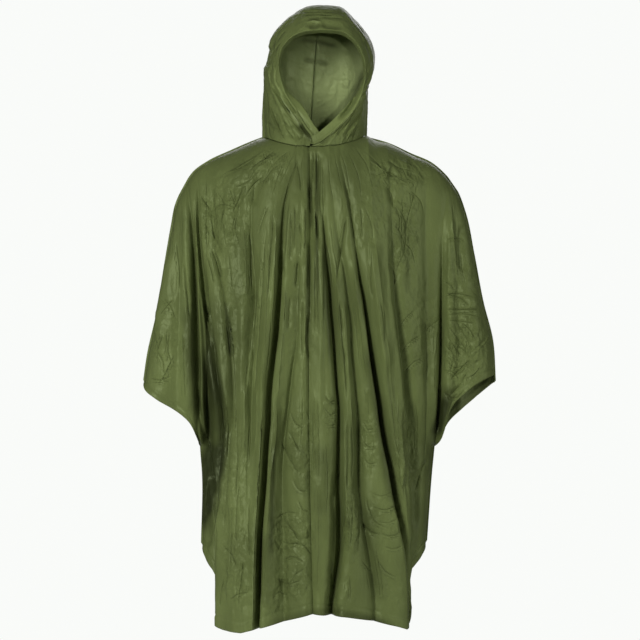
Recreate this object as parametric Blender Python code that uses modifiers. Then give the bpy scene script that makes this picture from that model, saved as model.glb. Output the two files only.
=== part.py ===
"""Hooded rain poncho in thin vinyl film, hanging open and hollow as it is worn.

Metres, +Z up. The front faces -Y. The origin is the middle of the neck base, where the
shoulders carry the garment. Each cut piece is a sheet of its own, given its wall by Solidify.
A sheet is a loft: its columns follow the hanging folds and its rows run across the body.
"""
import math
from collections import namedtuple

import bpy
import numpy as np

# ---------------------------------------------------------------- driving sizes
WALL = 0.0015            # wall of the film as built
GAP = 0.0003             # clearance between neighbouring pieces
LAP_STEP = 0.0020        # depth of the left front under the right one, at the centre seam
LAP_SHARE = 0.9          # how far it goes under, as a share of the right front's first column
FLANGE = 0.004           # weld flange that stands out along shoulder, sleeve top and side
HOLLOW_EDGE = WALL + GAP / 2      # half depth of the closed seam, at the outer face
CHEST_DEPTH_FRONT = 0.148
CHEST_DEPTH_BACK = 0.122
SLEEVE_DEPTH = 0.055     # half depth of the flattened sleeve tube
SHOULDER_ROUND = 0.075   # radius over the shoulder
SLEEVE_ROUND = 0.050     # radius round the sleeve top
SIDE_ROUND = 0.130       # radius round the body side, below the sleeves
TORSO_HALF_WIDTH = 0.225
CREASE_REACH = 1.3       # a crease's flank, in crease half widths

ROWS_UPPER = 12          # rows from the shoulder to the underarm
ROWS_LOWER = 9           # rows from the underarm to the hem
HOOD_ROWS = (0, 0.035, 0.08, 0.14, 0.215, 0.30, 0.39, 0.49, 0.59, 0.69, 0.79, 0.89, 1)
HEM_TURN = 0.016         # width of the strip turned in round the face opening
HEM_TURNS_BACK = (0.01, 0.13)     # heights between which the strip turns from sideways to back
HEM_CLEAR = 0.0020       # clearance of its turned edge inside the hood's edge
HEM_BACK_SHARE = 0.8     # share of its sideways direction that it loses there

# ---------------------------------------------------------------- outline, seen from the front
Point = namedtuple("Point", "x z")

SHOULDER_LEFT = tuple(Point(*p) for p in (      # neck centre, shoulder, sleeve top, cuff tip
    (0.000, 0.030), (-0.060, 0.021), (-0.113, 0.006), (-0.181, -0.022), (-0.226, -0.043),
    (-0.258, -0.066), (-0.279, -0.098), (-0.296, -0.135), (-0.305, -0.180), (-0.318, -0.255),
    (-0.337, -0.370), (-0.355, -0.450), (-0.363, -0.505)))
SHOULDER_RIGHT = tuple(Point(*p) for p in (
    (0.000, 0.030), (0.060, 0.021), (0.107, 0.007), (0.155, -0.007), (0.200, -0.028),
    (0.243, -0.047), (0.272, -0.072), (0.296, -0.104), (0.314, -0.150), (0.333, -0.240),
    (0.352, -0.340), (0.372, -0.420), (0.378, -0.508)))

ARMHOLE_LEFT = tuple(Point(*p) for p in (       # sleeve root, then the side seam
    (-0.270, -0.084), (-0.257, -0.200), (-0.248, -0.360), (-0.243, -0.520), (-0.2436, -0.643),
    (-0.2395, -0.700), (-0.2415, -0.845)))
ARMHOLE_RIGHT = tuple(Point(*p) for p in (
    (0.278, -0.078), (0.264, -0.174), (0.260, -0.300), (0.253, -0.500), (0.2489, -0.645),
    (0.2445, -0.690), (0.2335, -0.840)))

SLEEVE_END_LEFT = tuple(Point(*p) for p in (    # underarm to cuff tip
    (-0.2436, -0.643), (-0.250, -0.618), (-0.262, -0.591), (-0.296, -0.563), (-0.334, -0.540),
    (-0.356, -0.523), (-0.363, -0.503)))
SLEEVE_END_RIGHT_FRONT = tuple(Point(*p) for p in (
    (0.2489, -0.645), (0.2600, -0.630), (0.2680, -0.606), (0.274, -0.578), (0.288, -0.550),
    (0.312, -0.526),
    (0.345, -0.503), (0.3765, -0.491)))
SLEEVE_END_RIGHT_BACK = tuple(Point(*p) for p in (
    (0.2489, -0.645), (0.267, -0.622), (0.2856, -0.592), (0.310, -0.568), (0.336, -0.546),
    (0.362, -0.522), (0.377, -0.505)))

HEM_FRONT = tuple(Point(*p) for p in (          # left side seam, front corners, right side seam
    (-0.2415, -0.845), (-0.228, -0.868), (-0.216, -0.895), (-0.209, -0.950), (-0.203, -0.998),
    (-0.180, -1.006), (-0.145, -1.008), (-0.118, -0.999), (-0.060, -0.983), (-0.008, -0.968),
    (0.060, -0.974), (0.120, -0.984), (0.160, -0.998), (0.176, -1.006), (0.194, -0.998),
    (0.200, -0.950), (0.206, -0.890), (0.218, -0.862), (0.2335, -0.840)))
HEM_BACK = tuple(Point(*p) for p in (
    (-0.2415, -0.845), (-0.220, -0.880), (-0.150, -0.915), (-0.060, -0.902), (0.000, -0.895),
    (0.070, -0.905), (0.150, -0.918), (0.212, -0.878), (0.2335, -0.840)))

NECK_TOP = 0.030         # height of the shoulder line carried on to the middle
NECK_FRONT_DROP = 0.054  # neck edge below that, at the centre front
NECK_BACK_DROP = 0.017   # and at the centre back

# ---------------------------------------------------------------- depth of the hanging body
Depth = namedtuple("Depth", "z front back")
DEPTHS = (
    Depth(0.03, 0.106, 0.084), Depth(-0.05, 0.118, 0.100), Depth(-0.14, 0.136, 0.117),
    Depth(-0.25, CHEST_DEPTH_FRONT, CHEST_DEPTH_BACK), Depth(-0.45, 0.151, 0.113),
    Depth(-0.70, 0.156, 0.117), Depth(-1.02, 0.170, 0.130))

# ---------------------------------------------------------------- folds of the body
# x: the crease's place at each of LEVELS. depth, lift and ridge: at each of BANDS, the depth
# of the crease, how far its line stands out, and how far the cloth beyond it stands out.
LEVELS = (-0.06, -0.28, -0.50, -0.74, -0.98)
BANDS = (-0.15, -0.45, -0.85)
Fold = namedtuple("Fold", "name x depth width lift ridge ridge_place")

FRONT_FOLDS = (
    Fold("left_side", (-0.240, -0.230, -0.199, -0.200, -0.210),
         (0.006, 0.015, 0.016), 0.010, (0, 0, 0), (0.004, 0.006, 0.014), 0.50),
    Fold("left_ribs", (-0.204, -0.192, -0.173, -0.171, -0.174),
         (0.005, 0.007, 0.000), 0.012, (0, 0, 0.012), (0.004, 0.008, 0.015), 0.55),
    Fold("left_breast", (-0.113, -0.126, -0.136, -0.143, -0.146),
         (0.001, 0.005, 0.001), 0.010, (0.003, 0.008, 0.015), (0.006, 0.011, 0.012), 0.50),
    Fold("left_chest", (-0.040, -0.072, -0.093, -0.111, -0.119),
         (0.010, 0.022, 0.018), 0.009, (0, 0, 0), (0.006, 0.010, 0.007), 0.40),
    Fold("left_soft", (-0.027, -0.038, -0.040, -0.062, -0.066),
         (0.002, 0.006, 0.003), 0.011, (0.004, 0.004, 0.003), (0.004, 0.007, 0.006), 0.55),
    Fold("centre", (-0.0125, -0.0115, -0.0135, -0.0110, -0.0050),
         (0.003, 0.003, 0.002), 0.005, (0.003, 0.004, 0.005), (0.005, 0.010, 0.012), 0.45),
    Fold("right_centre", (0.004, 0.0205, 0.041, 0.045, 0.0225),
         (0.008, 0.017, 0.018), 0.010, (0, 0, 0), (0.005, 0.008, 0.009), 0.45),
    Fold("right_soft", (0.026, 0.043, 0.075, 0.075, 0.059),
         (0.001, 0.009, 0.004), 0.011, (0.003, 0.003, 0.006), (0.006, 0.009, 0.010), 0.55),
    Fold("right_chest", (0.049, 0.085, 0.117, 0.156, 0.193),
         (0.008, 0.023, 0.020), 0.009, (0, 0, 0), (0.005, 0.011, 0.008), 0.50),
    Fold("right_breast", (0.107, 0.121, 0.147, 0.176, 0.199),
         (0, 0, 0), 0.010, (0.006, 0.012, 0.008), (0.005, 0.009, 0.004), 0.50),
    Fold("right_side", (0.146, 0.152, 0.172, 0.192, 0.205),
         (0.002, 0.009, 0.010), 0.011, (0.003, 0.002, 0), (0.006, 0.008, 0.004), 0.50))
CENTRE = 5               # the row of the centre front seam in FRONT_FOLDS

BACK_FOLDS = (
    Fold("back_left_side", (-0.222, -0.213, -0.199, -0.204, -0.212),
         (0.004, 0.010, 0.015), 0.010, (0, 0, 0), (0.005, 0.008, 0.012), 0.45),
    Fold("back_left_blade", (-0.113, -0.143, -0.160, -0.168, -0.172),
         (0.004, 0.015, 0.010), 0.011, (0, 0, 0.004), (0.004, 0.006, 0.008), 0.50),
    Fold("back_left_soft", (-0.077, -0.104, -0.124, -0.134, -0.130),
         (0.001, 0.004, 0.015), 0.010, (0.003, 0.004, 0.000), (0.007, 0.013, 0.012), 0.60),
    Fold("back_left_centre", (-0.026, -0.038, -0.053, -0.068, -0.080),
         (0.007, 0.020, 0.017), 0.010, (0, 0, 0), (0.005, 0.008, 0.009), 0.40),
    Fold("back_middle", (0.004, -0.002, -0.010, -0.024, -0.036),
         (0.001, 0.003, 0.012), 0.009, (0.004, 0.005, 0.002), (0.006, 0.012, 0.013), 0.55),
    Fold("back_right_centre", (0.036, 0.044, 0.050, 0.046, 0.034),
         (0.005, 0.016, 0.019), 0.011, (0, 0, 0), (0.005, 0.007, 0.009), 0.50),
    Fold("back_right_blade", (0.107, 0.110, 0.112, 0.104, 0.096),
         (0.003, 0.008, 0.007), 0.012, (0.001, 0.002, 0.004), (0.007, 0.012, 0.014), 0.45),
    Fold("back_right_soft", (0.142, 0.148, 0.156, 0.160, 0.158),
         (0.003, 0.017, 0.015), 0.009, (0, 0, 0), (0.004, 0.006, 0.007), 0.50),
    Fold("back_right_side", (0.212, 0.208, 0.203, 0.204, 0.208),
         (0.004, 0.009, 0.013), 0.011, (0, 0, 0), (0.005, 0.007, 0.006), 0.50))

# A crease runs down each armhole line, and a soft one down the middle of each sleeve.
Armhole = namedtuple("Armhole", "depth width sleeve_ridge sleeve_depth sleeve_width outer_ridge")
ARMHOLES = {
    "front_left": Armhole((0.006, 0.014, 0), 0.010, 0.007, 0.004, 0.014, 0.003),
    "front_right": Armhole((0.008, 0.018, 0), 0.009, 0.006, 0.005, 0.014, 0.003),
    "back_left": Armhole((0.005, 0.012, 0), 0.010, 0.006, 0.004, 0.014, 0.003),
    "back_right": Armhole((0.005, 0.013, 0), 0.010, 0.006, 0.005, 0.014, 0.003)}
ARMHOLE_RIDGE = (0.003, 0.004, 0.003)
SLEEVE_VALLEY = 0.48     # place of the soft crease, from the armhole to the sleeve top


# ---------------------------------------------------------------- curves
def smooth(knots, values, at):
    """Cubic curve through (knots, values), with slopes from the neighbouring knots."""
    knots = np.asarray(knots, float)
    values = np.asarray(values, float)
    if knots[0] > knots[-1]:
        knots = knots[::-1]
        values = values[::-1]
    at = np.clip(at, knots[0], knots[-1])
    slopes = np.gradient(values, knots, axis=0)
    cell = np.clip(np.searchsorted(knots, at, side="right") - 1, 0, len(knots) - 2)
    step = knots[cell + 1] - knots[cell]
    t = (at - knots[cell]) / step
    rise = t * t * (3 - 2 * t)
    start, end = values[cell], values[cell + 1]
    return (start + (end - start) * rise
            + step * slopes[cell] * t * (1 - t) ** 2
            - step * slopes[cell + 1] * t * t * (1 - t))


def along(points, at):
    """(x, z) on a smooth outline, at fractions of its length."""
    xz = np.array(points)
    lengths = np.concatenate([[0], np.cumsum(np.hypot(*np.diff(xz, axis=0).T))])
    knots = lengths / lengths[-1]
    return np.stack([smooth(knots, xz[:, 0], at), smooth(knots, xz[:, 1], at)], axis=-1)


def x_at(points, z):
    """x of an outline that runs downwards, at heights z."""
    xz = np.array(points)
    return smooth(xz[:, 1], xz[:, 0], z)


def z_at(points, x):
    """z of an outline that runs sideways, at places x."""
    xz = np.array(points)
    order = np.argsort(xz[:, 0])
    return np.interp(x, xz[order, 0], xz[order, 1])


def distance_to(points, x, z, samples=160):
    """Distance in the XZ plane from each (x, z) to an outline."""
    line = along(points, np.linspace(0, 1, samples))
    start, step = line[:-1], np.diff(line, axis=0)
    here = np.stack([np.ravel(x), np.ravel(z)], axis=-1)[:, None, :]
    reach = np.clip(((here - start) * step).sum(-1) / (step * step).sum(-1), 0, 1)
    nearest = start + reach[..., None] * step
    return np.linalg.norm(here - nearest, axis=-1).min(axis=1).reshape(np.shape(x))


def rounding(inset, radius):
    """0 at the edge of a round, 1 from its radius inwards."""
    left = 1 - np.clip(inset / radius, 0, 1)
    return np.sqrt(np.maximum(1 - left * left, 0))


def smoothstep(low, high, at):
    t = np.clip((at - low) / (high - low), 0, 1)
    return t * t * (3 - 2 * t)


# ---------------------------------------------------------------- the smooth body
def half_depth(face, x, z):
    """Depth of the body or sleeve in front of (-Y) or behind (+Y) the seam plane."""
    levels = [d.z for d in DEPTHS]
    body = smooth(levels, [getattr(d, face) for d in DEPTHS], z)
    low = smoothstep(-0.56, -0.86, z)
    edge = SLEEVE_DEPTH + (0.72 * body - SLEEVE_DEPTH) * low
    across = np.clip(1 - (x / TORSO_HALF_WIDTH) ** 2, 0, 1) ** (0.85 - 0.35 * low)
    return edge + (body - edge) * across


def base_y(face, x, z):
    """Y of the smooth sheet over the point (x, z) of the front view."""
    left = distance_to(SHOULDER_LEFT, x, z)
    right = distance_to(SHOULDER_RIGHT, x, z)
    top = np.maximum(np.minimum(left, right) - FLANGE, 0)
    radius = SLEEVE_ROUND + (SHOULDER_ROUND - SLEEVE_ROUND) * smoothstep(0.30, 0.20, np.abs(x))
    side_left = distance_to(side_line(ARMHOLE_LEFT), x, z)
    side_right = distance_to(side_line(ARMHOLE_RIGHT), x, z)
    side = np.maximum(np.minimum(side_left, side_right) - FLANGE, 0)
    depth = half_depth(face, x, z) * rounding(top, radius) * rounding(side, SIDE_ROUND)
    sign = -1 if face == "front" else 1
    return sign * (HOLLOW_EDGE + depth)


def side_line(armhole):
    """The side seam, from the underarm straight on below the hem."""
    seam = [p for p in armhole if p.z < -0.63]
    return seam + [Point(seam[-1].x, -1.10)]


# ---------------------------------------------------------------- folds
def crease(distance, depth, width):
    return -depth * np.exp(-(np.abs(distance) / width) ** 1.7)


def fold_height(lines, x, z):
    """How far the folded sheet stands out from the smooth one, at (x, z) in one panel."""
    places = np.stack([line["x"](z) for line in lines])
    lifts = np.stack([line["lift"](z) for line in lines])
    ridges = np.stack([line["ridge"](z) for line in lines[:-1]])
    height = np.zeros_like(x)
    for k in range(len(lines) - 1):
        left, right = places[k], places[k + 1]
        span = np.maximum(right - left, 1e-4)
        t = (x - left) / span
        inside = (t >= 0) & (t <= 1)
        warped = np.clip(t, 0, 1) ** (math.log(0.5) / math.log(lines[k]["ridge_place"]))
        hump = np.sin(np.pi * warped)
        floor = lifts[k] + (lifts[k + 1] - lifts[k]) * np.clip(t, 0, 1)
        height = np.where(inside, floor + (ridges[k] - floor) * hump ** 1.2, height)
    for place, line in zip(places, lines):
        height = height + crease(x - place, line["depth"](z), line["width"])
    return height


def fold_line(fold):
    return {"x": lambda z, f=fold: smooth(LEVELS, f.x, z),
            "depth": lambda z, f=fold: smooth(BANDS, f.depth, z) * smoothstep(0.0, -0.12, z),
            "lift": lambda z, f=fold: smooth(BANDS, f.lift, z),
            "ridge": lambda z, f=fold: smooth(BANDS, f.ridge, z) * smoothstep(0.0, -0.12, z),
            "width": fold.width, "ridge_place": fold.ridge_place}


def armhole_line(outline, shape):
    """The crease down an armhole, which dies out at the underarm."""
    return {"x": lambda z: x_at(outline, z),
            "depth": lambda z: (smooth(BANDS, shape.depth, z) * smoothstep(-0.60, -0.46, z)
                                * smoothstep(-0.08, -0.20, z)),
            "lift": lambda z: np.zeros_like(z),
            "ridge": lambda z: smooth(BANDS, ARMHOLE_RIDGE, z) * smoothstep(-0.08, -0.20, z),
            "width": shape.width, "ridge_place": 0.5}


def column_places(lines, z, splits):
    """x of every column at heights z (..., columns): creases, flanks and ridges between."""
    per_span = 4 * splits
    part = np.arange(per_span)
    whole, rest = part // splits, (part % splits) / splits
    x = np.empty_like(z)
    for k in range(len(lines) - 1):
        here = slice(k * per_span, (k + 1) * per_span)
        height = z[..., here]
        left, right = lines[k]["x"](height), lines[k + 1]["x"](height)
        span = right - left
        stops = np.stack([left, left + flank(lines[k], height, span),
                          left + span * lines[k]["ridge_place"],
                          right - flank(lines[k + 1], height, span), right])
        start = np.take_along_axis(stops, np.broadcast_to(whole, height.shape)[None], axis=0)[0]
        end = np.take_along_axis(stops, np.broadcast_to(whole + 1, height.shape)[None], axis=0)[0]
        x[..., here] = start + (end - start) * rest
    x[..., -1] = lines[-1]["x"](z[..., -1])
    return x


def flank(line, z, span):
    """Width of a crease's flank, which narrows to the weld flange below an underarm."""
    width = CREASE_REACH * line["width"]
    if "seam_below" in line:
        width = width + (FLANGE - width) * smoothstep(-0.58, -0.63, z)
    return np.minimum(width, 0.3 * span)


# ---------------------------------------------------------------- panels
def top_edge(face, x):
    """z of a panel's upper edge: shoulder line, or neck edge between the shoulders."""
    left, right = SHOULDER_LEFT[2], SHOULDER_RIGHT[2]
    shares = np.linspace(0, 1, 400)
    shoulder = np.where(x < 0, z_at(along(SHOULDER_LEFT, shares), x),
                        z_at(along(SHOULDER_RIGHT, shares), x))
    drop = NECK_FRONT_DROP if face == "front" else NECK_BACK_DROP
    reach = np.clip((x - left.x) / (right.x - left.x), 0, 1)
    edge = left.z + (right.z - left.z) * reach
    neck = edge + (NECK_TOP - drop - edge) * (1 - np.abs(2 * reach - 1) ** 2.4)
    return np.where((x > left.x) & (x < right.x), neck, shoulder)


def row_fraction(row, rows):
    """Even rows, a little closer near the shoulder."""
    return (row / rows) ** 1.15


def body_grid(face, lines, hem, splits=1, row_splits=1):
    """Points (rows, columns, x z) of the body part of a panel, between its outer lines."""
    upper, lower = ROWS_UPPER * row_splits, ROWS_LOWER * row_splits
    count = 4 * splits * (len(lines) - 1) + 1
    underarm = np.full(count, -0.643)
    z = np.full(count, -0.05)
    for _ in range(30):
        x = column_places(lines, z, splits)
        z = 0.5 * z + 0.5 * top_edge(face, x)
    top = z.copy()
    z = np.full(count, -0.95)
    for _ in range(60):
        x = column_places(lines, z, splits)
        z = 0.6 * z + 0.4 * z_at(hem, x)
    bottom = z.copy()
    grid = []
    for row in range(upper + lower + 1):
        if row <= upper:
            first = FLANGE if row else 0.0
            share = row_fraction(max(row - 1, 0), upper - 1)
            z = top - first + (underarm - top + first) * share
        else:
            share = (row - upper) / lower
            z = underarm + (bottom - underarm) * share
        grid.append(np.stack([column_places(lines, z, splits), z], axis=-1))
    return np.array(grid)


def sleeve_grid(root, outline, tip_share, end, shares, row_splits=1):
    """Points (rows, columns, x z) of a sleeve, from the armhole line to the sleeve top.

    root holds the body's own points down the armhole line, so the two grids share them.
    """
    rows = ROWS_UPPER * row_splits + 1
    start_share = share_of(outline, root[0])
    ends = along(end, shares)
    grid = []
    for row in range(rows):
        first = 0.02 if row else 0.0
        down = first + (1 - first) * row_fraction(max(row - 1, 0), rows - 2)
        outer_from = start_share + SLEEVE_START * (1 - start_share)
        outer = along(outline, np.array([outer_from + (tip_share - outer_from) * down]))[0]
        straight = root[row] + (outer - root[row]) * shares[:, None]
        chord = ends[0] + (ends[-1] - ends[0]) * shares[:, None]
        grid.append(straight + (ends - chord) * down ** 2)
    return np.array(grid)


SLEEVE_START = 0.08      # share of the sleeve top that the sleeve's first row runs along


def share_of(outline, point):
    """Fraction of an outline's length at which it comes nearest to a point."""
    shares = np.linspace(0, 1, 800)
    gaps = np.linalg.norm(along(outline, shares) - np.asarray(point), axis=-1)
    return shares[gaps.argmin()]


def sleeve_shares(width, splits=1):
    """Columns across a sleeve, as shares from the armhole line to the sleeve top."""
    stops = (0, 0.13, 0.28, SLEEVE_VALLEY - 0.09, SLEEVE_VALLEY, SLEEVE_VALLEY + 0.09,
             0.74, 0.87, 1 - FLANGE / width, 1)
    places = [low + (high - low) * part / splits
              for low, high in zip(stops, stops[1:]) for part in range(splits)]
    return np.array(places + [1.0])


def sleeve_height(shares, points, armhole, shape):
    """How far a folded sleeve stands out, over its grid of points."""
    z = points[..., 1]
    x = points[..., 0]
    fade = smoothstep(-0.10, -0.25, z)
    near = np.sin(np.pi * np.clip(shares / SLEEVE_VALLEY, 0, 1)) * shape.sleeve_ridge
    far_share = np.clip((shares - SLEEVE_VALLEY) / (0.96 - SLEEVE_VALLEY), 0, 1)
    far = np.sin(np.pi * far_share) * shape.outer_ridge
    width = np.abs(points[:, -1:, 0] - points[:, :1, 0])
    soft = crease((shares - SLEEVE_VALLEY) * width, shape.sleeve_depth, shape.sleeve_width)
    slot = crease(x - armhole["x"](z), armhole["depth"](z), shape.width)
    return (near + far + soft) * fade + slot


def sheet_points(face, grid, height):
    """3-D points of a sheet: the smooth sheet, moved out along its normal by the folds."""
    x, z = grid[..., 0], grid[..., 1]
    base = np.stack([x, base_y(face, x, z), z], axis=-1)
    down = np.gradient(base, axis=0)
    across = np.gradient(base, axis=1)
    normal = np.cross(across, down)
    normal /= np.maximum(np.linalg.norm(normal, axis=-1, keepdims=True), 1e-9)
    outward = -1 if face == "front" else 1
    flip = np.where(normal[..., 1:2] * outward < 0, -1, 1)
    inset = np.abs(base[..., 1]) - HOLLOW_EDGE
    hold = smoothstep(0.0, 0.03, inset)
    return base + normal * flip * (height * hold)[..., None]


def panel_lines(face, folds, first, last):
    """The lines of one panel, from its outer or centre line to the next."""
    left = dict(armhole_line(ARMHOLE_LEFT, ARMHOLES[face + "_left"]), seam_below=True)
    right = dict(armhole_line(ARMHOLE_RIGHT, ARMHOLES[face + "_right"]), seam_below=True)
    lines = [left] + [fold_line(fold) for fold in folds] + [right]
    return lines[first:last]


def panel(face, folds, first, last, hem, sleeves):
    """Patches of 3-D points of one panel: its body and its sleeves."""
    lines = panel_lines(face, folds, first, last)
    every_line = panel_lines(face, folds, 0, len(folds) + 2)
    body = body_grid(face, lines, hem)
    height = fold_height(every_line, body[..., 0], body[..., 1])
    patches = {"body": sheet_points(face, body, height)}
    for side in sleeves:
        end = {"left": SLEEVE_END_LEFT,
               "right": SLEEVE_END_RIGHT_FRONT if face == "front" else SLEEVE_END_RIGHT_BACK}[side]
        outline = SHOULDER_LEFT if side == "left" else SHOULDER_RIGHT
        armhole = lines[0] if side == "left" else lines[-1]
        root = body[:ROWS_UPPER + 1, 0 if side == "left" else -1]
        shares = sleeve_shares(0.11)
        grid = sleeve_grid(root, outline, share_of(outline, end[-1]), end, shares)
        shape = ARMHOLES[face + "_" + side]
        points = sheet_points(face, grid, sleeve_height(shares, grid, armhole, shape))
        points[:, 0] = patches["body"][:ROWS_UPPER + 1, 0 if side == "left" else -1]
        patches[side] = points
    return patches


def lap_under(left, right):
    """The left front with its centre edge led under the right front's first column."""
    edge = right[:, 0]
    beyond = edge + (right[:, 1] - edge) * LAP_SHARE
    across = right[:, 1] - edge
    inward = np.cross(np.gradient(edge, axis=0), across)
    inward *= np.sign(inward[:, 1:2])
    inward *= LAP_STEP / np.linalg.norm(inward, axis=1, keepdims=True)
    return np.concatenate([left[:, :-1], (edge + inward)[:, None], (beyond + inward)[:, None]],
                          axis=1)


# ---------------------------------------------------------------- hood
# Three rails run from the neck to the crown: the face opening, the side and the centre back.
Rail = namedtuple("Rail", "x y z")
OPENING = {
    "left": tuple(Rail(*p) for p in (
        (-0.0128, -0.107, -0.0225), (-0.0085, -0.1035, -0.010), (-0.0225, -0.1025, 0.014),
        (-0.0405, -0.101, 0.046), (-0.061, -0.098, 0.081), (-0.071, -0.096, 0.111),
        (-0.077, -0.098, 0.148), (-0.067, -0.106, 0.181), (-0.049, -0.115, 0.199),
        (-0.026, -0.122, 0.208), (0.0104, -0.126, 0.212))),
    "right": tuple(Rail(*p) for p in (
        (-0.0098, -0.107, -0.0225), (0.0075, -0.108, -0.0160), (0.028, -0.107, -0.0010),
        (0.052, -0.104, 0.021), (0.075, -0.101, 0.046), (0.091, -0.098, 0.077),
        (0.100, -0.096, 0.107), (0.102, -0.097, 0.136), (0.096, -0.102, 0.164),
        (0.078, -0.111, 0.193), (0.055, -0.119, 0.208), (0.0104, -0.126, 0.212)))}
SIDES = {
    "left": tuple(Rail(*p) for p in (
        (-0.113, 0.000, 0.007), (-0.113, 0.003, 0.065), (-0.1105, 0.004, 0.107),
        (-0.108, 0.004, 0.169), (-0.097, 0.003, 0.204), (-0.080, 0.000, 0.233),
        (-0.057, -0.003, 0.254), (-0.034, -0.006, 0.270), (-0.015, -0.008, 0.278),
        (0.0110, -0.010, 0.280))),
    "right": tuple(Rail(*p) for p in (
        (0.107, 0.000, 0.007), (0.109, 0.003, 0.069), (0.111, 0.004, 0.109),
        (0.1215, 0.004, 0.148), (0.1235, 0.004, 0.183), (0.115, 0.002, 0.209),
        (0.099, 0.000, 0.232), (0.078, -0.004, 0.254), (0.055, -0.008, 0.274),
        (0.0110, -0.010, 0.280)))}
CENTRE_BACK = tuple(Rail(*p) for p in (
    (-0.012, 0.070, 0.014), (-0.010, 0.096, 0.060), (-0.007, 0.113, 0.120),
    (-0.003, 0.117, 0.180), (0.001, 0.109, 0.224), (0.005, 0.093, 0.250)))

NECK_LIFT = 0.0008       # hood's lower edge above the panels' neck edge
SIDE_COLUMN = 0.42       # share of the hood's columns in front of its side rail
OPENING_TURN = math.radians(65)   # how far the sheet curls from the side to the opening
NECK_BLEND = 0.45        # share of the height over which the hood takes the neck's shape
NECK_CROWDING = {"left": 1.7, "right": 1.1}    # how much of the hood crowds to the neck's front

# Gathers fan out from the front of the neck. at: share from the opening to the centre back.
# reach: how far up each goes, as a share of the height.
Gather = namedtuple("Gather", "at width left_depth left_reach right_depth right_reach")
GATHERS = (
    Gather(0.100, 0.030, 0.0075, 0.62, 0.0010, 0.50),
    Gather(0.225, 0.026, 0.0065, 0.52, 0.0065, 0.60),
    Gather(0.345, 0.024, 0.0035, 0.40, 0.0040, 0.45),
    Gather(0.560, 0.030, 0.0040, 0.60, 0.0030, 0.45),
    Gather(0.760, 0.034, 0.0035, 0.45, 0.0045, 0.65))
HOOD_COLUMNS = (0, 0.05, 0.10, 0.162, 0.225, 0.285, 0.345, 0.42, 0.49, 0.56, 0.65, 0.76, 0.87, 1)


def rail(points, shares):
    """3-D points at fractions of a rail's length."""
    xyz = np.array(points)
    lengths = np.concatenate([[0], np.cumsum(np.linalg.norm(np.diff(xyz, axis=0), axis=1))])
    return np.stack([smooth(lengths / lengths[-1], xyz[:, axis], shares) for axis in range(3)],
                    axis=-1)


def neck_line(row, middle, corner, shares):
    """Points of a panel's neck edge, at shares of the way from its middle to its corner."""
    x = middle + (corner - middle) * np.clip(shares, 0, 1)
    return np.stack([x, np.interp(x, row[:, 0], row[:, 1]), np.interp(x, row[:, 0], row[:, 2])],
                    axis=-1)


def hood_half(side, front_row, back_row, columns, rows):
    """Points (rows, columns, 3) of one half of the hood, from the neck to the crown.

    front_row and back_row are the panels' neck edges, in order of x.
    """
    front, middle, rear = (rail(points, rows)[:, None] for points in
                           (OPENING[side], SIDES[side], CENTRE_BACK))
    ahead = np.clip(1 - columns / SIDE_COLUMN, 0, 1) * OPENING_TURN
    behind = np.clip((columns - SIDE_COLUMN) / (1 - SIDE_COLUMN), 0, 1) * math.pi / 2
    curl = (1 - np.cos(ahead)) / (1 - math.cos(OPENING_TURN))
    forward = np.stack([curl, np.sin(ahead) / math.sin(OPENING_TURN), curl], axis=-1)
    backward = np.stack([1 - np.cos(behind), np.sin(behind), np.sin(behind) ** 2], axis=-1)
    grid = middle + (front - middle) * forward + (rear - middle) * backward

    corner = middle[0, 0, 0]
    ahead_share = np.clip(columns / SIDE_COLUMN, 0, 1) ** NECK_CROWDING[side]
    behind_share = (1 - columns) / (1 - SIDE_COLUMN)
    neck = np.where((columns <= SIDE_COLUMN)[:, None],
                    neck_line(front_row, front[0, 0, 0], corner, ahead_share),
                    neck_line(back_row, rear[0, 0, 0], corner, behind_share))
    neck = neck + (0, 0, NECK_LIFT)
    hold = 1 - smoothstep(0, NECK_BLEND, rows)
    grid = grid + (neck - grid[0]) * hold[:, None, None]

    normal = np.cross(np.gradient(grid, axis=1), np.gradient(grid, axis=0))
    normal /= np.linalg.norm(normal, axis=-1, keepdims=True)
    if side == "right":
        normal = -normal
    return grid + normal * hood_height(side, columns, rows)[..., None]


def hood_height(side, columns, rows):
    """How far the gathered hood stands out from the smooth one."""
    height = np.zeros((len(rows), len(columns)))
    for gather in GATHERS:
        depth = getattr(gather, side + "_depth")
        reach = getattr(gather, side + "_reach")
        fade = smoothstep(0.02, 0.24, rows) * (1 - smoothstep(0.35 * reach, reach, rows))
        groove = np.exp(-((columns - gather.at) / gather.width) ** 2)
        height -= depth * fade[:, None] * groove
    return height * smoothstep(0, 0.05, columns) * smoothstep(1, 0.9, columns)


def hood_hem(hood_points):
    """Strip turned in round the face opening, from one end at the neck to the other."""
    edge = hood_points[:, 0]
    hang = hood_points[:, 1] - edge
    run = np.gradient(edge, axis=0)
    outside = np.cross(run, hang)
    outside /= np.linalg.norm(outside, axis=1, keepdims=True)
    inward = np.cross((0, 1, 0), run)
    inward /= np.linalg.norm(inward, axis=1, keepdims=True)
    run /= np.linalg.norm(run, axis=1, keepdims=True)
    hang -= (hang * run).sum(1, keepdims=True) * run
    slant = (hang * inward).sum(1, keepdims=True) / np.maximum(hang[:, 1:2], 0.001)
    wall_reach = (np.maximum(-(outside * inward).sum(1, keepdims=True), 0)
                  + np.clip(slant, 0, 1.5)) * WALL
    back = smoothstep(*HEM_TURNS_BACK, edge[:, 2:3])
    turn = inward * (1 - HEM_BACK_SHARE * back) + np.array([0, 1.0, 0]) * back
    turn /= np.linalg.norm(turn, axis=1, keepdims=True)
    start = edge + inward * (wall_reach + HEM_CLEAR + WALL * turn[:, 1:2])
    strip = np.stack([start + turn * HEM_TURN * share for share in (0, 0.5, 1)], axis=1)
    return strip[1:-1]


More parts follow.
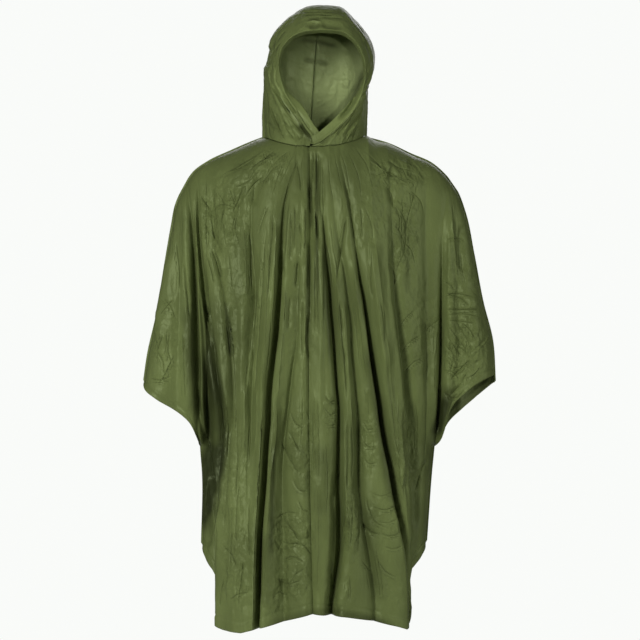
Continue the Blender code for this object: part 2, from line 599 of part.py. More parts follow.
# ---------------------------------------------------------------- meshes
def grid_faces(start, rows, columns, flip):
    faces = []
    for row in range(rows - 1):
        for column in range(columns - 1):
            a = start + row * columns + column
            across, down, far = a + 1, a + columns, a + columns + 1
            faces.append((a, down, far, across) if flip else (a, across, far, down))
    return faces


def sheet_object(name, patches, flips, colour):
    """One named piece: its patches as one open sheet, with a wall inside it."""
    vertices, faces = [], []
    for points, flip in zip(patches, flips):
        rows, columns = points.shape[:2]
        faces += grid_faces(len(vertices), rows, columns, flip)
        vertices += [tuple(p) for p in points.reshape(-1, 3)]
    mesh = bpy.data.meshes.new(name)
    mesh.from_pydata(vertices, [], faces)
    mesh.update()
    piece = bpy.data.objects.new(name, mesh)
    COLLECTION.objects.link(piece)
    weld = piece.modifiers.new("join_patches", "WELD")
    weld.merge_threshold = 0.00002
    wall = piece.modifiers.new("wall", "SOLIDIFY")
    wall.thickness = WALL
    wall.offset = -1
    wall.use_even_offset = False
    mesh.materials.append(vinyl(name + "_vinyl", colour))
    mesh.shade_smooth()
    return piece


def vinyl(name, colour):
    """Olive vinyl film: satin, not metallic."""
    material = bpy.data.materials.new(name)
    material.use_nodes = True
    shader = material.node_tree.nodes["Principled BSDF"]
    shader.inputs["Base Color"].default_value = (*colour, 1)
    shader.inputs["Roughness"].default_value = 0.42
    shader.inputs["Metallic"].default_value = 0.0
    material.diffuse_color = (*colour, 1)
    return material


for old in list(bpy.data.objects):
    bpy.data.objects.remove(old)
COLLECTION = bpy.data.collections.new("rain_poncho")
bpy.context.scene.collection.children.link(COLLECTION)

left = panel("front", FRONT_FOLDS, 0, CENTRE + 2, HEM_FRONT, ("left",))
right = panel("front", FRONT_FOLDS, CENTRE + 1, len(FRONT_FOLDS) + 2, HEM_FRONT, ("right",))
back = panel("back", BACK_FOLDS, 0, len(BACK_FOLDS) + 2, HEM_BACK, ("left", "right"))
left["body"] = lap_under(left["body"], right["body"])

OLIVE = (0.095, 0.125, 0.038)
OLIVE_SHADE = (0.085, 0.115, 0.035)
sheet_object("front_left", [left["body"], left["left"]], [True, False], OLIVE)
sheet_object("front_right", [right["body"], right["right"]], [True, True], OLIVE)
sheet_object("back", [back["body"], back["left"], back["right"]], [False, True, False], OLIVE_SHADE)

front_row = np.concatenate([left["body"][0, :-2], right["body"][0]])
halves = [hood_half(side, front_row, back["body"][0], np.array(HOOD_COLUMNS),
                    np.array(HOOD_ROWS))
          for side in ("left", "right")]
hood = np.concatenate([halves[0], halves[1][-2::-1]])
sheet_object("hood", halves, [True, False], OLIVE)
sheet_object("hood_hem", [hood_hem(hood)], [False], OLIVE_SHADE)
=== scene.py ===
"""Looks of the hooded rain poncho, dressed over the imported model.

Each cut piece of vinyl film is one dense sheet on the form of its solid, with the large folds
of the solids, and creases, crumple and weld lines in the film itself. Metres, +Z up, front
at -Y, origin in the middle of the neck base.
"""
import math
from collections import namedtuple

import bpy
import numpy as np
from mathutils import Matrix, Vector


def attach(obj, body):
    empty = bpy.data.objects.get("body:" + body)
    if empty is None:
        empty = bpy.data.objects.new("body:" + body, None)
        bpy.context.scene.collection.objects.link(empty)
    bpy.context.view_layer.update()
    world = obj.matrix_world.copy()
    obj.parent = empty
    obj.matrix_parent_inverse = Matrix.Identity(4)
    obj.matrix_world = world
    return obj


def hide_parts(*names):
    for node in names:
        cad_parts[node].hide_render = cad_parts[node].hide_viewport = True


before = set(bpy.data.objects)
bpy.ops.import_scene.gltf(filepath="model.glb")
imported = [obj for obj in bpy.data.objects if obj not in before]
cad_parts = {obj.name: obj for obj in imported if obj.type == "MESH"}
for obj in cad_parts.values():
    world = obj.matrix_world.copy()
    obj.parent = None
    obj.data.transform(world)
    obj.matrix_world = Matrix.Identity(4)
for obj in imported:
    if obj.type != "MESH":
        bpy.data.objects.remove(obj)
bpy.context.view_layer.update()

# ---------------------------------------------------------------- driving sizes
WALL = 0.0015            # wall of the film as built
GAP = 0.0003             # clearance between neighbouring pieces
LAP_SHARE = 0.9          # how far the left front goes under the right one's first column
FLANGE = 0.004           # weld flange that stands out along shoulder, sleeve top and side
HOLLOW_EDGE = WALL + GAP / 2      # half depth of the closed seam, at the outer face
CHEST_DEPTH_FRONT = 0.148
CHEST_DEPTH_BACK = 0.122
SLEEVE_DEPTH = 0.055     # half depth of the flattened sleeve tube
SHOULDER_ROUND = 0.075   # radius over the shoulder
SLEEVE_ROUND = 0.050     # radius round the sleeve top
SIDE_ROUND = 0.130       # radius round the body side, below the sleeves
TORSO_HALF_WIDTH = 0.225
CREASE_REACH = 1.3       # a crease's flank, in crease half widths
CROWDING = 1.5           # how much a sheet's columns crowd to a crease

ROWS_UPPER = 12          # rows from the shoulder to the underarm
ROWS_LOWER = 9           # rows from the underarm to the hem
SLEEVE_START = 0.08      # share of the sleeve top that the sleeve's first row runs along
HOOD_ROWS = (0, 0.035, 0.08, 0.14, 0.215, 0.30, 0.39, 0.49, 0.59, 0.69, 0.79, 0.89, 1)
HEM_TURNS_BACK = (0.01, 0.13)     # heights between which the opening's strip turns to the back
HEM_BACK_SHARE = 0.8     # share of its sideways direction that it loses there
MILLIMETRE = 0.001

# ---------------------------------------------------------------- outline, seen from the front
Point = namedtuple("Point", "x z")

SHOULDER_LEFT = tuple(Point(*p) for p in (      # neck centre, shoulder, sleeve top, cuff tip
    (0.000, 0.030), (-0.060, 0.021), (-0.113, 0.006), (-0.181, -0.022), (-0.226, -0.043),
    (-0.258, -0.066), (-0.279, -0.098), (-0.296, -0.135), (-0.305, -0.180), (-0.318, -0.255),
    (-0.337, -0.370), (-0.355, -0.450), (-0.363, -0.505)))
SHOULDER_RIGHT = tuple(Point(*p) for p in (
    (0.000, 0.030), (0.060, 0.021), (0.107, 0.007), (0.155, -0.007), (0.200, -0.028),
    (0.243, -0.047), (0.272, -0.072), (0.296, -0.104), (0.314, -0.150), (0.333, -0.240),
    (0.352, -0.340), (0.372, -0.420), (0.378, -0.508)))

ARMHOLE_LEFT = tuple(Point(*p) for p in (       # sleeve root, then the side seam
    (-0.270, -0.084), (-0.257, -0.200), (-0.248, -0.360), (-0.243, -0.520), (-0.2436, -0.643),
    (-0.2395, -0.700), (-0.2415, -0.845)))
ARMHOLE_RIGHT = tuple(Point(*p) for p in (
    (0.278, -0.078), (0.264, -0.174), (0.261, -0.300), (0.259, -0.480), (0.2489, -0.645),
    (0.2445, -0.690), (0.2335, -0.840)))

SLEEVE_END_LEFT = tuple(Point(*p) for p in (    # underarm to cuff tip
    (-0.2436, -0.643), (-0.250, -0.618), (-0.262, -0.591), (-0.296, -0.563), (-0.334, -0.540),
    (-0.356, -0.523), (-0.363, -0.503)))
SLEEVE_END_RIGHT_FRONT = tuple(Point(*p) for p in (
    (0.2489, -0.645), (0.2600, -0.630), (0.2680, -0.606), (0.274, -0.578), (0.288, -0.550),
    (0.312, -0.526), (0.345, -0.503), (0.3765, -0.491)))
SLEEVE_END_RIGHT_BACK = tuple(Point(*p) for p in (
    (0.2489, -0.645), (0.267, -0.622), (0.2856, -0.592), (0.310, -0.568), (0.336, -0.546),
    (0.362, -0.522), (0.377, -0.505)))

HEM_FRONT = tuple(Point(*p) for p in (          # left side seam, front corners, right side seam
    (-0.2415, -0.845), (-0.228, -0.868), (-0.216, -0.895), (-0.209, -0.950), (-0.203, -0.998),
    (-0.180, -1.006), (-0.145, -1.008), (-0.118, -0.999), (-0.060, -0.983), (-0.008, -0.968),
    (0.060, -0.974), (0.120, -0.984), (0.160, -0.998), (0.176, -1.006), (0.194, -0.998),
    (0.200, -0.950), (0.206, -0.890), (0.218, -0.862), (0.2335, -0.840)))
HEM_BACK = tuple(Point(*p) for p in (
    (-0.2415, -0.845), (-0.220, -0.880), (-0.150, -0.915), (-0.060, -0.902), (0.000, -0.895),
    (0.070, -0.905), (0.150, -0.918), (0.212, -0.878), (0.2335, -0.840)))

NECK_TOP = 0.030         # height of the shoulder line carried on to the middle
NECK_FRONT_DROP = 0.054  # neck edge below that, at the centre front
NECK_BACK_DROP = 0.017   # and at the centre back

# ---------------------------------------------------------------- depth of the hanging body
Depth = namedtuple("Depth", "z front back")
DEPTHS = (
    Depth(0.03, 0.106, 0.084), Depth(-0.05, 0.118, 0.100), Depth(-0.14, 0.136, 0.117),
    Depth(-0.25, CHEST_DEPTH_FRONT, CHEST_DEPTH_BACK), Depth(-0.45, 0.151, 0.113),
    Depth(-0.70, 0.156, 0.117), Depth(-1.02, 0.170, 0.130))

# ---------------------------------------------------------------- folds of the body
# x: the crease's place at each of LEVELS, or SEEN where SEEN_PATHS gives it. depth, lift and
# ridge: at each of BANDS, the depth of the crease, how far its line stands out, and how far the
# cloth beyond it stands out. ridge_place: where the cloth stands out most, as a share of the way
# to the next crease.
LEVELS = (-0.06, -0.28, -0.50, -0.74, -0.98)
BANDS = (-0.10, -0.20, -0.30, -0.45, -0.62, -0.85)
SEEN = None
Fold = namedtuple("Fold", "name x depth width lift ridge ridge_place")

FRONT_FOLDS = (
    Fold("left_side", SEEN,
         (0, 0.003, 0.008, 0.014, 0.015, 0.014), 0.008, (0,) * 6,
         (0.003, 0.004, 0.006, 0.010, 0.012, 0.014), (0.5, 0.5, 0.4, 0.3, 0.3, 0.5)),
    Fold("left_ribs", SEEN,
         (0.001, 0.004, 0.007, 0.006, 0.002, 0), 0.008, (0, 0, 0, 0, 0.006, 0.012),
         (0.005, 0.008, 0.012, 0.014, 0.013, 0.015), (0.5, 0.4, 0.25, 0.2, 0.3, 0.5)),
    Fold("left_breast", SEEN,
         (0, 0.005, 0.010, 0.009, 0.003, 0), 0.009, (0.002, 0.001, -0.002, -0.003, 0.004, 0.012),
         (0.004, 0.009, 0.012, 0.014, 0.013, 0.013), (0.5, 0.6, 0.7, 0.75, 0.75, 0.75)),
    Fold("left_chest", SEEN,
         (0.001, 0.003, 0.006, 0.008, 0.011, 0.012), 0.007, (0,) * 6,
         (0.003, 0.006, 0.007, 0.007, 0.009, 0.011), (0.4, 0.35, 0.35, 0.35, 0.3, 0.22)),
    Fold("left_soft", SEEN,
         (0, 0.001, 0.003, 0.006, 0.008, 0.008), 0.012,
         (0.003, 0.004, 0.004, 0.003, -0.002, -0.006),
         (0.003, 0.005, 0.006, 0.007, 0.009, 0.009), (0.55, 0.55, 0.55, 0.6, 0.7, 0.75)),
    Fold("centre", (-0.0125, -0.0115, -0.0135, -0.0110, -0.0050),
         (0.003, 0.005, 0.005, 0.003, 0.003, 0.002), 0.005,
         (0.001, 0.001, 0.003, 0.004, 0.004, 0.005),
         (0.004, 0.006, 0.009, 0.010, 0.011, 0.012), (0.45, 0.45, 0.5, 0.6, 0.5, 0.4)),
    Fold("right_centre", SEEN,
         (0, 0.001, 0.008, 0.011, 0.013, 0.016), 0.008, (0,) * 6,
         (0.003, 0.005, 0.007, 0.009, 0.010, 0.010), (0.45, 0.45, 0.45, 0.45, 0.40, 0.25)),
    Fold("right_soft", SEEN,
         (0, 0.001, 0.004, 0.006, 0.010, 0.009), 0.010, (0.003, 0.003, 0.002, 0, -0.004, -0.006),
         (0.005, 0.006, 0.008, 0.010, 0.012, 0.012), (0.55, 0.55, 0.6, 0.7, 0.75, 0.75)),
    Fold("right_chest", SEEN,
         (0, 0.001, 0.004, 0.008, 0.013, 0.008), 0.007, (0, 0, 0, 0, 0, 0.003),
         (0.004, 0.007, 0.011, 0.013, 0.012, 0.009), (0.5, 0.6, 0.65, 0.6, 0.5, 0.5)),
    Fold("right_breast", (0.107, 0.121, 0.147, 0.176, 0.199),
         (0, 0, 0, 0.001, 0.001, 0), 0.010, (0.006, 0.010, 0.012, 0.012, 0.011, 0.008),
         (0.004, 0.007, 0.009, 0.010, 0.009, 0.004), (0.5, 0.5, 0.4, 0.4, 0.4, 0.5)),
    Fold("right_side", SEEN,
         (0.001, 0.003, 0.006, 0.008, 0.009, 0.008), 0.011, (0.003, 0.003, 0.002, 0.001, 0.001, 0),
         (0.004, 0.005, 0.006, 0.008, 0.007, 0.004), (0.6, 0.6, 0.55, 0.5, 0.5, 0.5)))
CENTRE = 5               # the row of the centre front seam in FRONT_FOLDS

BACK_FOLDS = (
    Fold("back_left_side", (-0.222, -0.213, -0.199, -0.204, -0.212),
         (0.004, 0.005, 0.007, 0.010, 0.012, 0.015), 0.010, (0,) * 6,
         (0.005, 0.006, 0.007, 0.008, 0.010, 0.012), (0.45,) * 6),
    Fold("back_left_blade", (-0.113, -0.143, -0.160, -0.168, -0.172),
         (0.004, 0.006, 0.010, 0.015, 0.013, 0.010), 0.011, (0, 0, 0, 0, 0.002, 0.004),
         (0.004, 0.004, 0.005, 0.006, 0.007, 0.008), (0.50,) * 6),
    Fold("back_left_soft", (-0.077, -0.104, -0.124, -0.134, -0.130),
         (0.001, 0.002, 0.002, 0.004, 0.009, 0.015), 0.010, (0.003, 0.003, 0.004, 0.004, 0.002, 0),
         (0.007, 0.008, 0.010, 0.013, 0.013, 0.012), (0.60,) * 6),
    Fold("back_left_centre", (-0.026, -0.038, -0.053, -0.068, -0.080),
         (0.007, 0.009, 0.014, 0.020, 0.019, 0.017), 0.010, (0,) * 6,
         (0.005, 0.006, 0.007, 0.008, 0.008, 0.009), (0.40,) * 6),
    Fold("back_middle", (0.004, -0.002, -0.010, -0.024, -0.036),
         (0.001, 0.001, 0.002, 0.003, 0.007, 0.012), 0.009,
         (0.004, 0.004, 0.005, 0.005, 0.004, 0.002),
         (0.006, 0.007, 0.009, 0.012, 0.012, 0.013), (0.55,) * 6),
    Fold("back_right_centre", (0.036, 0.044, 0.050, 0.046, 0.034),
         (0.005, 0.007, 0.010, 0.016, 0.017, 0.019), 0.011, (0,) * 6,
         (0.005, 0.005, 0.006, 0.007, 0.008, 0.009), (0.50,) * 6),
    Fold("back_right_blade", (0.107, 0.110, 0.112, 0.104, 0.096),
         (0.003, 0.004, 0.006, 0.008, 0.008, 0.007), 0.012,
         (0.001, 0.001, 0.002, 0.002, 0.003, 0.004),
         (0.007, 0.008, 0.010, 0.012, 0.013, 0.014), (0.45,) * 6),
    Fold("back_right_soft", (0.142, 0.148, 0.156, 0.160, 0.158),
         (0.003, 0.005, 0.010, 0.017, 0.016, 0.015), 0.009, (0,) * 6,
         (0.004, 0.004, 0.005, 0.006, 0.006, 0.007), (0.50,) * 6),
    Fold("back_right_side", (0.212, 0.208, 0.203, 0.204, 0.208),
         (0.004, 0.005, 0.006, 0.009, 0.011, 0.013), 0.011, (0,) * 6,
         (0.005, 0.005, 0.006, 0.007, 0.007, 0.006), (0.50,) * 6))

# A crease runs down each armhole line, and a soft one down the middle of each sleeve.
Armhole = namedtuple("Armhole", "depth width sleeve_ridge sleeve_depth sleeve_width outer_ridge")
ARMHOLES = {
    "front_left": Armhole((0.004, 0.009, 0.012, 0.014, 0.008, 0), 0.010, 0.007, 0.004, 0.014,
                          0.003),
    "front_right": Armhole((0, 0.001, 0.005, 0.013, 0.010, 0), 0.008, 0.006, 0.005, 0.014,
                           0.003),
    "back_left": Armhole((0.004, 0.006, 0.009, 0.012, 0.007, 0), 0.010, 0.006, 0.004, 0.014,
                         0.003),
    "back_right": Armhole((0.004, 0.006, 0.010, 0.013, 0.008, 0), 0.010, 0.006, 0.005, 0.014,
                          0.003)}
ARMHOLE_RIDGE = (0.003, 0.003, 0.004, 0.004, 0.004, 0.003)
SLEEVE_VALLEY = 0.48     # place of the soft crease, from the armhole to the sleeve top


# ---------------------------------------------------------------- curves
def smooth(knots, values, at):
    """Cubic curve through (knots, values), with slopes from the neighbouring knots."""
    knots = np.asarray(knots, float)
    values = np.asarray(values, float)
    if knots[0] > knots[-1]:
        knots = knots[::-1]
        values = values[::-1]
    at = np.clip(at, knots[0], knots[-1])
    slopes = np.gradient(values, knots, axis=0)
    cell = np.clip(np.searchsorted(knots, at, side="right") - 1, 0, len(knots) - 2)
    step = knots[cell + 1] - knots[cell]
    t = (at - knots[cell]) / step
    rise = t * t * (3 - 2 * t)
    start, end = values[cell], values[cell + 1]
    return (start + (end - start) * rise
            + step * slopes[cell] * t * (1 - t) ** 2
            - step * slopes[cell + 1] * t * t * (1 - t))


def along(points, at):
    """(x, z) on a smooth outline, at fractions of its length."""
    xz = np.array(points)
    lengths = np.concatenate([[0], np.cumsum(np.hypot(*np.diff(xz, axis=0).T))])
    knots = lengths / lengths[-1]
    return np.stack([smooth(knots, xz[:, 0], at), smooth(knots, xz[:, 1], at)], axis=-1)


def x_at(points, z):
    """x of an outline that runs downwards, at heights z."""
    xz = np.array(points)
    return smooth(xz[:, 1], xz[:, 0], z)


def z_at(points, x):
    """z of an outline that runs sideways, at places x."""
    xz = np.array(points)
    order = np.argsort(xz[:, 0])
    return np.interp(x, xz[order, 0], xz[order, 1])


def distance_to(points, x, z, samples=160):
    """Distance in the XZ plane from each (x, z) to an outline."""
    line = along(points, np.linspace(0, 1, samples))
    start, step = line[:-1], np.diff(line, axis=0)
    here = np.stack([np.ravel(x), np.ravel(z)], axis=-1)[:, None, :]
    reach = np.clip(((here - start) * step).sum(-1) / (step * step).sum(-1), 0, 1)
    nearest = start + reach[..., None] * step
    return np.linalg.norm(here - nearest, axis=-1).min(axis=1).reshape(np.shape(x))


def rounding(inset, radius):
    """0 at the edge of a round, 1 from its radius inwards."""
    left = 1 - np.clip(inset / radius, 0, 1)
    return np.sqrt(np.maximum(1 - left * left, 0))


def smoothstep(low, high, at):
    """0 at low and beyond, 1 at high and beyond, and smooth between."""
    t = np.clip((at - low) / (high - low), 0, 1)
    return t * t * (3 - 2 * t)


# ---------------------------------------------------------------- the smooth body
SLEEVES_END = (-0.56, -0.86)      # heights between which the sleeves' depth becomes the side's
SIDE_DEPTH = 0.72        # depth at the side below the sleeves, as a share of the middle's
SECTION_POWER = 0.85     # roundness of the body's section at the sleeves: lower is fuller
SECTION_FILL = 0.35      # how much lower it is below the sleeves
ROUND_CHANGES = (0.30, 0.20)      # from the middle: where the sleeve's round becomes the shoulder's
SEAM_FROM = -0.63        # below this height the armhole lines go on as side seams
SEAM_END = -1.10         # height at which they end, below the hem


def half_depth(face, x, z):
    """Depth of the body or sleeve in front of (-Y) or behind (+Y) the seam plane."""
    levels = [d.z for d in DEPTHS]
    body = smooth(levels, [getattr(d, face) for d in DEPTHS], z)
    low = smoothstep(*SLEEVES_END, z)
    edge = SLEEVE_DEPTH + (SIDE_DEPTH * body - SLEEVE_DEPTH) * low
    power = SECTION_POWER - SECTION_FILL * low
    across = np.clip(1 - (x / TORSO_HALF_WIDTH) ** 2, 0, 1) ** power
    return edge + (body - edge) * across


def base_y(face, x, z):
    """Y of the smooth sheet over the point (x, z) of the front view."""
    left = distance_to(SHOULDER_LEFT, x, z)
    right = distance_to(SHOULDER_RIGHT, x, z)
    top = np.maximum(np.minimum(left, right) - FLANGE, 0)
    shoulder = smoothstep(*ROUND_CHANGES, np.abs(x))
    radius = SLEEVE_ROUND + (SHOULDER_ROUND - SLEEVE_ROUND) * shoulder
    side_left = distance_to(side_line(ARMHOLE_LEFT), x, z)
    side_right = distance_to(side_line(ARMHOLE_RIGHT), x, z)
    side = np.maximum(np.minimum(side_left, side_right) - FLANGE, 0)
    depth = half_depth(face, x, z) * rounding(top, radius) * rounding(side, SIDE_ROUND)
    sign = -1 if face == "front" else 1
    return sign * (HOLLOW_EDGE + depth)


def side_line(armhole):
    """The side seam, from the underarm straight on below the hem."""
    seam = [p for p in armhole if p.z < SEAM_FROM]
    return seam + [Point(seam[-1].x, SEAM_END)]


# ---------------------------------------------------------------- folds
CREASE_POWER = 1.7       # how flat the bottom of a fold is
RIDGE_POWER = 1.2        # how narrow the cloth's crest between two folds is
FOLDS_BEGIN = (0.0, -0.12)        # heights between which the folds grow to their depth
ARMHOLE_BEGINS = (-0.08, -0.20)   # and the same for the crease of an armhole
ARMHOLE_ENDS = (-0.60, -0.46)     # heights between which that crease dies out
FLANK_NARROWS = (-0.58, -0.63)    # heights between which a flank becomes the weld flange
FLANK_SHARE = 0.3        # widest flank, as a share of the way to the next crease
SPAN_PARTS = 4           # parts between two creases: a flank, two slopes and a flank


def crease(distance, depth, width):
    """Height of a crease, at a distance from its line."""
    return -depth * np.exp(-(np.abs(distance) / width) ** CREASE_POWER)


def fold_height(lines, x, z):
    """How far the folded sheet stands out from the smooth one, at (x, z) in one panel."""
    places = np.stack([line["x"](z) for line in lines])
    lifts = np.stack([line["lift"](z) for line in lines])
    ridges = np.stack([line["ridge"](z) for line in lines[:-1]])
    height = np.zeros_like(x)
    for k in range(len(lines) - 1):
        left, right = places[k], places[k + 1]
        span = np.maximum(right - left, 1e-4)
        t = (x - left) / span
        inside = (t >= 0) & (t <= 1)
        warped = np.clip(t, 0, 1) ** (math.log(0.5) / np.log(lines[k]["ridge_place"](z)))
        hump = np.sin(np.pi * warped)
        floor = lifts[k] + (lifts[k + 1] - lifts[k]) * np.clip(t, 0, 1)
        height = np.where(inside, floor + (ridges[k] - floor) * hump ** RIDGE_POWER, height)
    for place, line in zip(places, lines):
        height = height + crease(x - place, line["depth"](z), line["width"])
    return height


def fold_line(fold):
    """A fold as functions of the height z."""
    levels, places = LEVELS, fold.x
    if fold.x is SEEN:
        places, levels = on_front(SEEN_PATHS[fold.name])
    return {"name": fold.name, "x": lambda z: smooth(levels, places, z),
            "depth": lambda z, f=fold: smooth(BANDS, f.depth, z) * smoothstep(*FOLDS_BEGIN, z),
            "lift": lambda z, f=fold: smooth(BANDS, f.lift, z),
            "ridge": lambda z, f=fold: smooth(BANDS, f.ridge, z) * smoothstep(*FOLDS_BEGIN, z),
            "width": fold.width,
            "ridge_place": lambda z, f=fold: smooth(BANDS, f.ridge_place, z)}


def armhole_line(name, outline, shape):
    """The crease down an armhole, which dies out at the underarm."""
    return {"name": name, "x": lambda z: x_at(outline, z),
            "depth": lambda z: (smooth(BANDS, shape.depth, z) * smoothstep(*ARMHOLE_ENDS, z)
                                * smoothstep(*ARMHOLE_BEGINS, z)),
            "lift": lambda z: np.zeros_like(z),
            "ridge": lambda z: smooth(BANDS, ARMHOLE_RIDGE, z) * smoothstep(*ARMHOLE_BEGINS, z),
            "width": shape.width, "ridge_place": lambda z: np.full(np.shape(z), 0.5)}


def column_places(lines, z, splits):
    """x of every column at heights z (..., columns): creases, flanks and ridges between."""
    per_span = SPAN_PARTS * splits
    part = np.arange(per_span)
    whole, rest = part // splits, (part % splits) / splits
    closer = np.where(whole == 0, rest ** CROWDING,
                      np.where(whole == SPAN_PARTS - 1, 1 - (1 - rest) ** CROWDING, rest))
    x = np.empty_like(z)
    for k in range(len(lines) - 1):
        here = slice(k * per_span, (k + 1) * per_span)
        height = z[..., here]
        left, right = lines[k]["x"](height), lines[k + 1]["x"](height)
        span = right - left
        stops = np.stack([left, left + flank(lines[k], height, span),
                          left + span * lines[k]["ridge_place"](height),
                          right - flank(lines[k + 1], height, span), right])
        start, end = (np.take_along_axis(stops, np.broadcast_to(stop, height.shape)[None],
                                         axis=0)[0] for stop in (whole, whole + 1))
        x[..., here] = start + (end - start) * closer
    x[..., -1] = lines[-1]["x"](z[..., -1])
    return x


def flank(line, z, span):
    """Width of a crease's flank, which narrows to the weld flange below an underarm."""
    width = CREASE_REACH * line["width"]
    if "seam_below" in line:
        width = width + (FLANGE - width) * smoothstep(*FLANK_NARROWS, z)
    return np.minimum(width, FLANK_SHARE * span)


# ---------------------------------------------------------------- panels
NECK_POWER = 2.4         # how square the neck edge is
ROW_CROWDING = 1.15      # how much the rows crowd to the shoulder
SLEEVE_BEGINS = (-0.10, -0.25)    # heights between which the sleeve's folds grow
OUTER_END = 0.96         # where the sleeve's outer ridge ends, near the sleeve top
SEAM_HOLD = 0.03         # distance from the seam over which folds grow to their height


def top_edge(face, x):
    """z of a panel's upper edge: shoulder line, or neck edge between the shoulders."""
    left, right = SHOULDER_LEFT[2], SHOULDER_RIGHT[2]
    shares = np.linspace(0, 1, 400)
    shoulder = np.where(x < 0, z_at(along(SHOULDER_LEFT, shares), x),
                        z_at(along(SHOULDER_RIGHT, shares), x))
    drop = NECK_FRONT_DROP if face == "front" else NECK_BACK_DROP
    reach = np.clip((x - left.x) / (right.x - left.x), 0, 1)
    edge = left.z + (right.z - left.z) * reach
    neck = edge + (NECK_TOP - drop - edge) * (1 - np.abs(2 * reach - 1) ** NECK_POWER)
    return np.where((x > left.x) & (x < right.x), neck, shoulder)


def row_fraction(row, rows):
    """Even rows, a little closer near the shoulder."""
    return (row / rows) ** ROW_CROWDING


def share_of(outline, point):
    """Fraction of an outline's length at which it comes nearest to a point."""
    shares = np.linspace(0, 1, 800)
    gaps = np.linalg.norm(along(outline, shares) - np.asarray(point), axis=-1)
    return shares[gaps.argmin()]


def sleeve_shares(width, splits=1):
    """Columns across a sleeve, as shares from the armhole line to the sleeve top."""
    stops = (0, 0.13, 0.28, SLEEVE_VALLEY - 0.09, SLEEVE_VALLEY, SLEEVE_VALLEY + 0.09,
             0.74, 0.87, 1 - FLANGE / width, 1)
    places = [low + (high - low) * part / splits
              for low, high in zip(stops, stops[1:]) for part in range(splits)]
    return np.array(places + [1.0])


def sleeve_height(shares, points, armhole, shape):
    """How far a folded sleeve stands out, over its grid of points."""
    z = points[..., 1]
    x = points[..., 0]
    fade = smoothstep(*SLEEVE_BEGINS, z)
    near = np.sin(np.pi * np.clip(shares / SLEEVE_VALLEY, 0, 1)) * shape.sleeve_ridge
    far_share = np.clip((shares - SLEEVE_VALLEY) / (OUTER_END - SLEEVE_VALLEY), 0, 1)
    far = np.sin(np.pi * far_share) * shape.outer_ridge
    width = np.abs(points[:, -1:, 0] - points[:, :1, 0])
    soft = crease((shares - SLEEVE_VALLEY) * width, shape.sleeve_depth, shape.sleeve_width)
    slot = crease(x - armhole["x"](z), armhole["depth"](z), shape.width)
    return (near + far + soft) * fade + slot


def sheet_points(face, grid, height):
    """3-D points of a sheet: the smooth sheet, moved out along its normal by the folds."""
    x, z = grid[..., 0], grid[..., 1]
    base = np.stack([x, base_y(face, x, z), z], axis=-1)
    down = np.gradient(base, axis=0)
    across = np.gradient(base, axis=1)
    normal = np.cross(across, down)
    normal /= np.maximum(np.linalg.norm(normal, axis=-1, keepdims=True), 1e-9)
    outward = -1 if face == "front" else 1
    flip = np.where(normal[..., 1:2] * outward < 0, -1, 1)
    inset = np.abs(base[..., 1]) - HOLLOW_EDGE
    hold = smoothstep(0.0, SEAM_HOLD, inset)
    return base + normal * flip * (height * hold)[..., None]


def panel_lines(face, folds, first, last):
    """The lines of one panel, from its outer or centre line to the next."""
    left = dict(armhole_line("arm_left", ARMHOLE_LEFT, ARMHOLES[face + "_left"]),
                seam_below=True)
    right = dict(armhole_line("arm_right", ARMHOLE_RIGHT, ARMHOLES[face + "_right"]),
                 seam_below=True)
    lines = [left] + [fold_line(fold) for fold in folds] + [right]
    return lines[first:last]


# ---------------------------------------------------------------- hood
# Three rails run from the neck to the crown: the face opening, the side and the centre back.
Rail = namedtuple("Rail", "x y z")
OPENING = {
    "left": tuple(Rail(*p) for p in (
        (-0.0128, -0.107, -0.0225), (-0.0085, -0.1035, -0.010), (-0.0225, -0.1025, 0.014),
        (-0.0405, -0.101, 0.046), (-0.061, -0.098, 0.081), (-0.071, -0.096, 0.111),
        (-0.077, -0.098, 0.148), (-0.067, -0.106, 0.181), (-0.049, -0.115, 0.199),
        (-0.026, -0.122, 0.208), (0.0104, -0.126, 0.212))),
    "right": tuple(Rail(*p) for p in (
        (-0.0098, -0.107, -0.0225), (0.0075, -0.108, -0.0160), (0.028, -0.107, -0.0010),
        (0.052, -0.104, 0.021), (0.075, -0.101, 0.046), (0.091, -0.098, 0.077),
        (0.100, -0.096, 0.107), (0.102, -0.097, 0.136), (0.096, -0.102, 0.164),
        (0.078, -0.111, 0.193), (0.055, -0.119, 0.208), (0.0104, -0.126, 0.212)))}
SIDES = {
    "left": tuple(Rail(*p) for p in (
        (-0.113, 0.000, 0.007), (-0.113, 0.003, 0.065), (-0.1105, 0.004, 0.107),
        (-0.108, 0.004, 0.169), (-0.097, 0.003, 0.204), (-0.080, 0.000, 0.233),
        (-0.057, -0.003, 0.254), (-0.034, -0.006, 0.270), (-0.015, -0.008, 0.278),
        (0.0110, -0.010, 0.280))),
    "right": tuple(Rail(*p) for p in (
        (0.107, 0.000, 0.007), (0.109, 0.003, 0.069), (0.111, 0.004, 0.109),
        (0.1215, 0.004, 0.148), (0.1235, 0.004, 0.183), (0.115, 0.002, 0.209),
        (0.099, 0.000, 0.232), (0.078, -0.004, 0.254), (0.055, -0.008, 0.274),
        (0.0110, -0.010, 0.280)))}
CENTRE_BACK = tuple(Rail(*p) for p in (
    (-0.012, 0.070, 0.014), (-0.010, 0.096, 0.060), (-0.007, 0.113, 0.120),
    (-0.003, 0.117, 0.180), (0.001, 0.109, 0.224), (0.005, 0.093, 0.250)))

NECK_LIFT = 0.0008       # hood's lower edge above the panels' neck edge
SIDE_COLUMN = 0.42       # share of the hood's columns in front of its side rail
OPENING_TURN = math.radians(65)   # how far the sheet curls from the side to the opening
NECK_BLEND = 0.45        # share of the height over which the hood takes the neck's shape
NECK_CROWDING = {"left": 1.7, "right": 1.1}    # how much of the hood crowds to the neck's front

